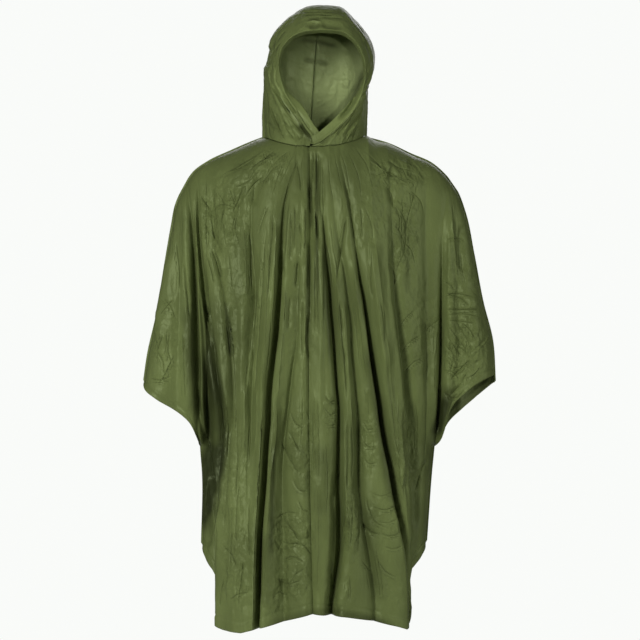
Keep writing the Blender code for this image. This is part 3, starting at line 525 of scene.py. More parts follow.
# Gathers fan out from the front of the neck. at: share from the opening to the centre back.
# reach: how far up each goes, as a share of the height.
Gather = namedtuple("Gather", "at width left_depth left_reach right_depth right_reach")
GATHERS = (
    Gather(0.100, 0.030, 0.0075, 0.62, 0.0010, 0.50),
    Gather(0.225, 0.026, 0.0065, 0.52, 0.0065, 0.60),
    Gather(0.345, 0.024, 0.0035, 0.40, 0.0040, 0.45),
    Gather(0.560, 0.030, 0.0040, 0.60, 0.0030, 0.45),
    Gather(0.760, 0.034, 0.0035, 0.45, 0.0045, 0.65))
HOOD_COLUMNS = (0, 0.05, 0.10, 0.162, 0.225, 0.285, 0.345, 0.42, 0.49, 0.56, 0.65, 0.76, 0.87, 1)


def rail(points, shares):
    """3-D points at fractions of a rail's length."""
    xyz = np.array(points)
    lengths = np.concatenate([[0], np.cumsum(np.linalg.norm(np.diff(xyz, axis=0), axis=1))])
    return np.stack([smooth(lengths / lengths[-1], xyz[:, axis], shares) for axis in range(3)],
                    axis=-1)


def neck_line(row, middle, corner, shares):
    """Points of a panel's neck edge, at shares of the way from its middle to its corner."""
    x = middle + (corner - middle) * np.clip(shares, 0, 1)
    return np.stack([x, np.interp(x, row[:, 0], row[:, 1]), np.interp(x, row[:, 0], row[:, 2])],
                    axis=-1)


def hood_half(side, front_row, back_row, columns, rows):
    """Points (rows, columns, 3) of one half of the hood, from the neck to the crown.

    front_row and back_row are the panels' neck edges, in order of x.
    """
    front, middle, rear = (rail(points, rows)[:, None] for points in
                           (OPENING[side], SIDES[side], CENTRE_BACK))
    ahead = np.clip(1 - columns / SIDE_COLUMN, 0, 1) * OPENING_TURN
    behind = np.clip((columns - SIDE_COLUMN) / (1 - SIDE_COLUMN), 0, 1) * math.pi / 2
    curl = (1 - np.cos(ahead)) / (1 - math.cos(OPENING_TURN))
    forward = np.stack([curl, np.sin(ahead) / math.sin(OPENING_TURN), curl], axis=-1)
    backward = np.stack([1 - np.cos(behind), np.sin(behind), np.sin(behind) ** 2], axis=-1)
    grid = middle + (front - middle) * forward + (rear - middle) * backward

    corner = middle[0, 0, 0]
    ahead_share = np.clip(columns / SIDE_COLUMN, 0, 1) ** NECK_CROWDING[side]
    behind_share = (1 - columns) / (1 - SIDE_COLUMN)
    neck = np.where((columns <= SIDE_COLUMN)[:, None],
                    neck_line(front_row, front[0, 0, 0], corner, ahead_share),
                    neck_line(back_row, rear[0, 0, 0], corner, behind_share))
    neck = neck + (0, 0, NECK_LIFT)
    hold = 1 - smoothstep(0, NECK_BLEND, rows)
    grid = grid + (neck - grid[0]) * hold[:, None, None]

    normal = np.cross(np.gradient(grid, axis=1), np.gradient(grid, axis=0))
    normal /= np.linalg.norm(normal, axis=-1, keepdims=True)
    if side == "right":
        normal = -normal
    return grid + normal * hood_height(side, columns, rows)[..., None]


GATHERS_BEGIN = (0.02, 0.24)      # heights between which the gathers grow, as shares
GATHER_HELD = 0.35       # share of its reach up to which a gather keeps its depth
GATHERS_FROM = (0, 0.05)          # columns between which the gathers grow from the opening
GATHERS_TO = (1, 0.9)             # and from the centre back


def hood_height(side, columns, rows):
    """How far the gathered hood stands out from the smooth one."""
    height = np.zeros((len(rows), len(columns)))
    for gather in GATHERS:
        depth = getattr(gather, side + "_depth")
        reach = getattr(gather, side + "_reach")
        fade = (smoothstep(*GATHERS_BEGIN, rows)
                * (1 - smoothstep(GATHER_HELD * reach, reach, rows)))
        groove = np.exp(-((columns - gather.at) / gather.width) ** 2)
        height -= depth * fade[:, None] * groove
    return height * smoothstep(*GATHERS_FROM, columns) * smoothstep(*GATHERS_TO, columns)


# ---------------------------------------------------------------- the view of the photograph
CAMERA_PLACE = np.array([0.0084, -3.8, -0.378])
HALF_VIEW = 0.672        # half of what the frame takes in, at the middle of the garment
VIEW_MIDDLE = 320        # middle of the 640 by 640 view, in pixels
PIXEL = HALF_VIEW / VIEW_MIDDLE   # one pixel of the view, at the middle of the garment
FRONT_PIXEL = 0.00203    # and at the garment's front
FRONT_Y = -0.12          # where the front lies, roughly


def seen(points):
    """View coordinates (px, py) of 3-D points."""
    reach = PIXEL * (1 - points[..., 1] / CAMERA_PLACE[1])
    return (VIEW_MIDDLE + (points[..., 0] - CAMERA_PLACE[0]) / reach,
            VIEW_MIDDLE - (points[..., 2] - CAMERA_PLACE[2]) / reach)


def on_front(path):
    """(x, z) of the smooth front, where a path of view coordinates lies on it."""
    px, py = np.array(path, float).T
    y = np.full(len(px), FRONT_Y)
    for _ in range(4):
        reach = PIXEL * (1 - y / CAMERA_PLACE[1])
        x = CAMERA_PLACE[0] + (px - VIEW_MIDDLE) * reach
        z = CAMERA_PLACE[2] - (py - VIEW_MIDDLE) * reach
        y = base_y("front", x, z)
    return x, z


# Lines of the large front folds as the view shows them, (px, py) from the shoulder to the hem.
SEEN_PATHS = {
    "left_side": ((198, 165), (198, 200), (199, 230), (201, 255), (204, 280), (206, 300),
                  (209, 320), (212, 345), (215, 365), (219, 385), (222, 402), (224, 422),
                  (223.5, 440), (221, 460), (219, 480), (217, 500), (215, 515), (213.5, 532),
                  (213.5, 560), (214, 600)),
    "left_ribs": ((212, 170), (212, 205), (213, 250), (217, 270), (222, 290), (226, 315),
                  (229, 340), (231, 362), (232.5, 400), (233, 440), (231.5, 520), (230, 600)),
    "left_breast": ((257, 165), (252, 200), (250.5, 230), (252, 290), (251.5, 340), (250, 400),
                    (250, 455), (247, 500), (245, 560), (244, 600)),
    "left_chest": ((296, 165), (290, 180), (285, 200), (282, 225), (281, 245), (280, 270),
                   (279, 290), (277.5, 310), (276, 330), (273, 355), (270, 380), (268.5, 400),
                   (268, 420), (266, 445), (264, 483), (262, 507), (260, 532), (259, 565),
                   (258, 598), (257, 623)),
    "left_soft": ((303, 165), (301, 200), (298.5, 265), (297, 300), (296, 345), (292, 370),
                  (288, 400), (284, 430), (282, 455), (281, 490), (282, 530), (283, 600)),
    "right_centre": ((318, 165), (320, 195), (323, 220), (326.5, 250), (330, 280), (332.5, 310),
                     (335, 340), (336.5, 365), (338, 385), (340, 405), (340, 445), (340, 483),
                     (341, 520), (340, 557), (337, 577), (332, 605)),
    "right_soft": ((329, 165), (333, 200), (339, 240), (345, 270), (349, 300), (352, 320),
                   (353, 350), (356, 380), (359, 410), (361, 440), (361, 470), (362, 500),
                   (366, 530), (372, 560), (377, 590), (378, 605)),
    "right_chest": ((340, 160), (345, 180), (350, 205), (352.5, 225), (355, 240), (358, 260),
                    (361, 280), (365, 300), (368, 320), (371, 340), (374, 360), (377.5, 380),
                    (381, 400), (384, 425), (387, 445), (392, 470), (396, 495), (401, 520),
                    (406, 545), (409, 570), (410, 600)),
    "right_side": ((390, 165), (391, 200), (393, 240), (395, 270), (397, 300), (401, 330),
                   (405, 360), (408, 395), (411, 440), (413, 490), (414, 530), (414.5, 560),
                   (415, 600))}

# Narrow slits at the bottom of the large folds: depth below the fold, and the half widths at the
# viewer's left and right, in millimetres, at each of SLIT_HEIGHTS.
SLIT_HEIGHTS = (-0.06, -0.13, -0.22, -0.30, -0.38, -0.46,
                -0.54, -0.62, -0.70, -0.79, -0.87, -0.95)
SLIT_POWER = 2.6         # how flat the bottom of a slit is
Slit = namedtuple("Slit", "depth left right")
FRONT_SLITS = {
    "arm_left": Slit((0, 3, 8, 12, 15, 16, 12, 0, 0, 0, 0, 0),
                     (3, 4, 4, 5, 8, 10, 8, 6, 6, 6, 6, 6),
                     (3, 3, 3, 3, 3.5, 4, 4, 4, 4, 4, 4, 4)),
    "left_side": Slit((0, 3, 7, 10, 14, 18, 20, 20, 18, 15, 8, 4),
                      (3, 3, 3.5, 5, 7, 9, 10, 10, 8, 5, 4, 4),
                      (3, 3, 3, 3.5, 3.5, 4, 4, 4, 3.5, 3.5, 3, 3)),
    "left_ribs": Slit((0, 1, 4, 5, 3, 4, 2, 0, 0, 1, 1, 0),
                      (3,) * 12, (3,) * 12),
    "left_breast": Slit((0, 1.5, 2.5, 3, 1.5, 1, 2.5, 3, 1, 0.5, 0.5, 0),
                        (2.5, 2.5, 2.5, 2.5, 2.5, 2.5, 2.5, 2.5, 3, 3, 3, 3),
                        (2.5, 2.5, 2.5, 2.5, 2.5, 2.5, 2.5, 2.5, 3, 3, 3, 3)),
    "left_chest": Slit((1, 3, 9, 18, 21, 21, 20, 20, 21, 21, 21, 19),
                       (1.5, 1.7, 2.2, 3.6, 4.2, 4.4, 4.6, 4.6, 4.6, 5, 5, 5),
                       (1.5, 1.7, 2.2, 3.4, 4, 3.8, 4, 4, 4, 4, 4, 4)),
    "left_soft": Slit((0, 1, 2, 2, 1, 5, 5, 3, 1, 0, 0, 0),
                      (3, 3, 3, 3, 3, 4, 4, 4, 5, 5, 5, 5),
                      (3, 3, 3, 3, 3, 4, 4, 4, 5, 5, 5, 5)),
    "right_centre": Slit((0, 0, 4, 9, 9, 8, 8, 9, 13, 19, 19, 12),
                         (2, 2, 3, 5, 6, 5, 5, 7, 12, 15, 16, 12),
                         (2, 2, 2.6, 3.2, 3.5, 3.5, 3.5, 4, 4, 4, 4, 5)),
    "right_soft": Slit((0, 1, 3, 5, 6, 6, 5, 4, 4, 3, 2, 1),
                       (4, 4, 4, 4, 4, 4, 4, 4, 5, 5, 5, 5),
                       (4, 4, 4, 5, 6, 6, 6, 6, 6, 5, 5, 5)),
    "right_chest": Slit((0, 1, 2, 8, 14, 20, 23, 23, 23, 20, 9, 0),
                        (1.5, 1.7, 2.4, 3.8, 5, 8, 10, 10, 9, 8, 8, 8),
                        (1.5, 1.7, 2.2, 3.4, 4, 4, 4, 4.5, 5, 5, 5, 5)),
    "right_side": Slit((0, 0, 1, 2, 2, 3, 4, 5, 6, 6, 4, 3),
                       (3,) * 12,
                       (6, 6, 8, 10, 10, 11, 12, 12, 12, 12, 10, 8)),
    "arm_right": Slit((0, 0, 1, 5, 12, 17, 17, 4, 0, 0, 0, 0),
                      (2.5, 2.5, 3, 3, 3, 3.5, 3.5, 4, 4, 4, 4, 4),
                      (2.5, 2.5, 3, 3, 3, 3, 4, 4, 4, 4, 4, 4))}
BACK_SLITS = {
    "arm_left": Slit((0, 4, 9, 12, 14, 15, 11, 0, 0, 0, 0, 0),
                     (3, 3, 3, 3.5, 4, 4, 4, 4, 4, 4, 4, 4),
                     (3, 4, 5, 6, 7, 8, 7, 6, 6, 6, 6, 6)),
    "back_left_side": Slit((0, 3, 6, 9, 11, 12, 13, 14, 14, 12, 10, 8),
                           (3, 3, 3.5, 4, 4, 4, 4, 4, 4, 4, 4, 4),
                           (3, 3, 3, 3, 3.5, 4, 4, 4, 4, 4, 4, 4)),
    "back_left_blade": Slit((1, 5, 9, 12, 14, 14, 12, 11, 10, 9, 8, 7),
                            (3, 3, 3.5, 4, 4, 4, 4, 4, 4, 4, 4, 4),
                            (3, 3.5, 4, 5, 6, 6, 5, 5, 5, 5, 5, 5)),
    "back_left_soft": Slit((0, 1, 1, 2, 2, 4, 8, 11, 13, 13, 12, 11),
                           (3,) * 6 + (4,) * 6,
                           (3, 3, 3, 3, 3, 3, 3, 4, 4, 4, 4, 4)),
    "back_left_centre": Slit((4, 8, 14, 17, 18, 18, 17, 15, 15, 14, 13, 12),
                             (3, 3.5, 4, 4.5, 4.5, 4, 4, 4, 4, 4, 4, 4),
                             (3, 3, 3.5, 3.5, 4, 4, 4, 4, 4, 4, 4, 4)),
    "back_middle": Slit((0, 0, 1, 2, 2, 3, 5, 7, 9, 10, 10, 9),
                        (3, 3, 3, 3, 3, 3, 3, 3, 4, 4, 4, 4),
                        (3, 3, 3, 3, 4, 4, 5, 5, 5, 5, 5, 5)),
    "back_right_centre": Slit((3, 7, 12, 14, 15, 16, 16, 17, 18, 18, 17, 16),
                              (3, 3, 3.5, 4, 4, 4, 4, 5, 6, 7, 7, 7),
                              (3, 3, 3, 3.5, 4, 4, 4, 4, 4, 4, 4, 4)),
    "back_right_blade": Slit((1, 2, 3, 5, 6, 5, 4, 4, 3, 3, 3, 2),
                             (4, 4, 4, 4, 4, 4, 4, 4, 5, 5, 5, 5),
                             (4, 4, 5, 5, 6, 6, 6, 5, 5, 5, 5, 5)),
    "back_right_soft": Slit((1, 4, 10, 14, 16, 15, 14, 13, 13, 13, 12, 11),
                            (3, 3, 3.5, 4, 4, 4, 4, 4, 4, 4, 4, 4),
                            (3, 3, 3.5, 4, 4.5, 5, 5, 5, 5, 5, 5, 5)),
    "back_right_side": Slit((0, 3, 5, 8, 9, 9, 10, 11, 12, 11, 9, 7),
                            (3, 3, 3, 3.5, 4, 4, 4, 4, 4, 4, 4, 4),
                            (3,) * 12),
    "arm_right": Slit((2, 6, 10, 13, 15, 15, 12, 0, 0, 0, 0, 0),
                      (3, 4, 5, 5, 6, 7, 7, 4, 4, 4, 4, 4),
                      (3,) * 6 + (4,) * 6)}
SLITS = {"front": FRONT_SLITS, "back": BACK_SLITS}


def slit_relief(face, lines, x, z):
    """Depth of the slits of some fold lines, at the points (x, z)."""
    height = np.zeros(np.shape(x))
    for line in lines:
        slit = SLITS[face].get(line["name"])
        if slit is None:
            continue
        away = x - line["x"](z)
        depth, left, right = (MILLIMETRE * smooth(SLIT_HEIGHTS, values, z) for values in slit)
        half = np.where(away < 0, left, right)
        height -= np.maximum(depth, 0) * np.exp(-(np.abs(away) / half) ** SLIT_POWER)
    return height


# Recesses: how far the film lies back at the viewer's left of a fold, and the recess's width
# there, in millimetres, at each of SLIT_HEIGHTS.
Recess = namedtuple("Recess", "line depth width")
RECESSES = {
    "front": (Recess("left_side", (0, 0, 0, 6, 16, 26, 34, 40, 38, 22, 6, 0),
                     (10, 10, 12, 16, 24, 34, 46, 50, 44, 34, 24, 20)),),
    "back": ()}
RECESS_NEAR = 0.16       # share of its width over which a recess sinks in beside the fold
RECESS_FAR = 0.55        # and the share from which it comes out again


def recess(face, lines, x, z):
    """How far back the film lies in its recesses, at the points (x, z)."""
    total = np.zeros(np.shape(x))
    for entry in RECESSES[face]:
        for line in lines:
            if line["name"] == entry.line:
                depth, width = (MILLIMETRE * smooth(SLIT_HEIGHTS, values, z)
                                for values in (entry.depth, entry.width))
                share = (line["x"](z) - x) / width
                total += (np.maximum(depth, 0) * smoothstep(0.0, RECESS_NEAR, share)
                          * smoothstep(1.0, RECESS_FAR, share))
    return total


# ---------------------------------------------------------------- scattered relief
TABLE_SIZE = 64          # cells until the scatter repeats
TABLE = np.random.default_rng(27).random((4, TABLE_SIZE, TABLE_SIZE))
SCATTER_STEPS = (17, 29)          # how far each layer's cells lie from the layer before
DRIFT_STEPS = (11, 5)             # the same, for the drift
FACET_TILT = 1.1         # how steep the facets are
FACET_STEP = 0.3         # how much the facets differ in height
FACET_CURVE = 0.8        # how round they are
CRUMPLE_BEND = 0.40      # how far the ridges bend, in cells, over cells of 1 / BEND_CELLS
BEND_CELLS = 1.7
SECOND_FACETS = 9.5      # how far the facets that cut the ridges lie from the first ones


def scattered(u, v, layer):
    """For each point, the offsets to nine nearby scattered points and their random numbers."""
    i, j = np.floor(u).astype(int), np.floor(v).astype(int)
    for down in (-1, 0, 1):
        for across in (-1, 0, 1):
            a = (i + across + SCATTER_STEPS[0] * layer) % TABLE_SIZE
            b = (j + down + SCATTER_STEPS[1] * layer) % TABLE_SIZE
            yield (u - i - across - TABLE[0, a, b], v - j - down - TABLE[1, a, b],
                   TABLE[2, a, b], TABLE[3, a, b])


def facets(u, v, layer):
    """Crumpled film: nearly flat facets that meet in sharp valleys. About -1 to 0.3."""
    best = np.full(np.shape(u), -9.0)
    for du, dv, first, second in scattered(u, v, layer):
        plane = (FACET_TILT * (first - 0.5) * du + FACET_TILT * (second - 0.5) * dv
                 + FACET_STEP * (first - second))
        best = np.maximum(best, plane - FACET_CURVE * (du * du + dv * dv))
    return best


def drift(u, v, layer):
    """Smooth random relief, about -1 to 1."""
    i, j = np.floor(u).astype(int), np.floor(v).astype(int)
    s, t = u - i, v - j
    s, t = s * s * (3 - 2 * s), t * t * (3 - 2 * t)

    def at(across, down):
        a = (i + across + DRIFT_STEPS[0] * layer) % TABLE_SIZE
        b = (j + down + DRIFT_STEPS[1] * layer) % TABLE_SIZE
        return TABLE[layer % 4, a, b]

    low = at(0, 0) * (1 - s) + at(1, 0) * s
    high = at(0, 1) * (1 - s) + at(1, 1) * s
    return 2 * (low * (1 - t) + high * t) - 1


def crumple(u, v, layer):
    """Crumple with ridges as sharp as its valleys, -1 to 1, over cells of size 1."""
    bend = CRUMPLE_BEND * drift(BEND_CELLS * u, BEND_CELLS * v, layer + 3)
    lean = CRUMPLE_BEND * drift(BEND_CELLS * u, BEND_CELLS * v, layer + 6)
    return (facets(u + bend, v + lean, layer)
            - facets(v - lean + SECOND_FACETS, u + bend, layer + 1))


# ---------------------------------------------------------------- strokes: creases listed one by one
# A kind of stroke: how far it stands out (in where negative), its half width and how flat its
# brow is. Power 0 is a step down, from the viewer's left of the path to its right. Its line is
# the sharp edge along its middle: the height and half width, in millimetres, for the material.
# The last kinds are painted shade: their rise is the share of the way to the painted shade's tone,
# and the rest is used in the same way.
Kind = namedtuple("Kind", "rise half power line_rise line_half", defaults=(0, 1))
KINDS = {
    "slit": Kind(-0.0130, 0.0036, 2.6),
    "crease": Kind(-0.0036, 0.0036, 1.8, -1.9, 1.2),
    "fine": Kind(-0.0018, 0.0028, 1.8, -1.5, 1.0),
    "hair": Kind(0, 0.0030, 1.8, -1.2, 0.9),
    "nick": Kind(-0.0070, 0.0024, 2.0, -1.2, 1.1),
    "soft": Kind(-0.0060, 0.0080, 2.0),
    "ridge": Kind(0.0032, 0.0042, 1.8, 1.4, 1.3),
    "lip": Kind(0.0016, 0.0028, 1.8, 1.9, 1.0),
    "swell": Kind(0.0065, 0.0140, 2.0),
    "over_left": Kind(0.0034, 0.0110, 0),
    "over_right": Kind(-0.0034, 0.0110, 0),
    # Kinds of painted shade: how dark, as a share of the way to the painted shade's tone.
    "deep": Kind(0.85, 0.0130, 3.0),
    "dim": Kind(0.30, 0.0200, 2.0),
    "shade_line": Kind(0.60, 0.0050, 2.0),
    "band": Kind(0.55, 0.0120, 3.0),
    "veil": Kind(0.16, 0.0550, 2.0)}
STEP_HALF = 0.0016       # half width of a step's face
STEP_POWER = 1.5         # how flat the film is beside a step
STROKE_REACH = 3         # half widths beyond which a stroke has died out
PATH_STEP = 4            # pixels between the points that follow a path
PATH_STEPS_MIN = 6       # points that a short path has at least
WANDER = 0.45            # how far a path strays, in pixels
WANDER_STEP = 0.7        # how fast, in cells of the drift for each of those points
TAPER = 0.20             # share of a path over which its stroke grows, at either end
UNEVEN = 0.25            # how much a stroke's height varies along its path
UNEVEN_LENGTH = 26       # over how many pixels
LINE_CHANNELS = 6        # lines that come near each other lie in different channels
LINE_REACH = 0.0075      # room that a line has in its channel, on either side
LINE_HELD = 0.6          # share of that room over which the line keeps its height
FAR = 9.0                # distance from a line, in half widths, that stands for none


def numbered(strokes):
    """Every stroke's number, kind and path. strokes: kind -> paths of (px, py)."""
    number = 0
    for kind, paths in strokes.items():
        for path in paths:
            number += 1
            yield number, KINDS[kind], path


def trace(path, px, py, room, number, layer):
    """Points within some room of a path: which they are, their distance from it in metres,
    negative at the viewer's left of it, and how strong the stroke is there."""
    ends = np.array(path, float)
    reach = room / FRONT_PIXEL
    near = ((px > ends[:, 0].min() - reach) & (px < ends[:, 0].max() + reach)
            & (py > ends[:, 1].min() - reach) & (py < ends[:, 1].max() + reach))
    length = np.hypot(*np.diff(ends, axis=0).T).sum()
    samples = max(int(length / PATH_STEP), PATH_STEPS_MIN)
    line = along(path, np.linspace(0, 1, samples))
    steps = np.arange(samples) * WANDER_STEP + 3.1 * number
    line[:, 0] += WANDER * drift(steps, np.zeros(samples), layer)
    here = np.stack([px[near], py[near]], axis=-1)
    best = np.full(len(here), 1e9)
    place, side = np.zeros(len(here)), np.ones(len(here))
    for k in range(samples - 1):
        run = line[k + 1] - line[k]
        gap = here - line[k]
        t = np.clip((gap @ run) / (run @ run), 0, 1)
        away = np.linalg.norm(gap - t[:, None] * run, axis=1)
        closer = away < best
        place = np.where(closer, (k + t) / (samples - 1), place)
        side = np.where(closer, gap[:, 0] * run[1] - gap[:, 1] * run[0], side)
        best = np.minimum(best, away)
    taper = smoothstep(0, TAPER, place + 0.02) * smoothstep(1, 1 - TAPER, place - 0.02)
    along_path = length / UNEVEN_LENGTH * place + 3.3 * number
    uneven = 1 + UNEVEN * drift(along_path, 0 * place, layer + 1)
    return near, np.where(side < 0, -1, 1) * best * FRONT_PIXEL, taper * uneven


def stroke_relief(strokes, px, py, layer, scale=1.0):
    """Relief of strokes at view coordinates, in metres."""
    height = np.zeros(np.shape(px))
    for number, kind, path in numbered(strokes):
        near, away, weight = trace(path, px, py, STROKE_REACH * kind.half, number, layer)
        if kind.power:
            brow = np.exp(-(np.abs(away) / kind.half) ** kind.power)
        else:
            brow = (-np.tanh(away / STEP_HALF)
                    * np.exp(-(np.abs(away) / kind.half) ** STEP_POWER))
        height[near] += scale * kind.rise * weight * brow
    return height


def sharp_lines(strokes, px, py, layer):
    """For each channel and point: the distance from a line in its half widths, and its height
    in millimetres."""
    lines = np.zeros((LINE_CHANNELS, len(px), 3))
    lines[:, :, 0] = FAR
    taken = np.zeros((LINE_CHANNELS, len(px)), bool)
    for number, kind, path in numbered(strokes):
        if not kind.line_rise:
            continue
        near, away, weight = trace(path, px, py, LINE_REACH, number, layer)
        near = np.flatnonzero(near)
        inside = np.abs(away) < LINE_REACH
        near, away, weight = near[inside], away[inside], weight[inside]
        for channel in range(LINE_CHANNELS):
            if len(near) and not taken[channel, near].any():
                taken[channel, near] = True
                window = smoothstep(LINE_REACH, LINE_HELD * LINE_REACH, np.abs(away))
                lines[channel, near, 0] = away * 1000 / kind.line_half
                lines[channel, near, 1] = kind.line_rise * weight * window
                break
    return lines


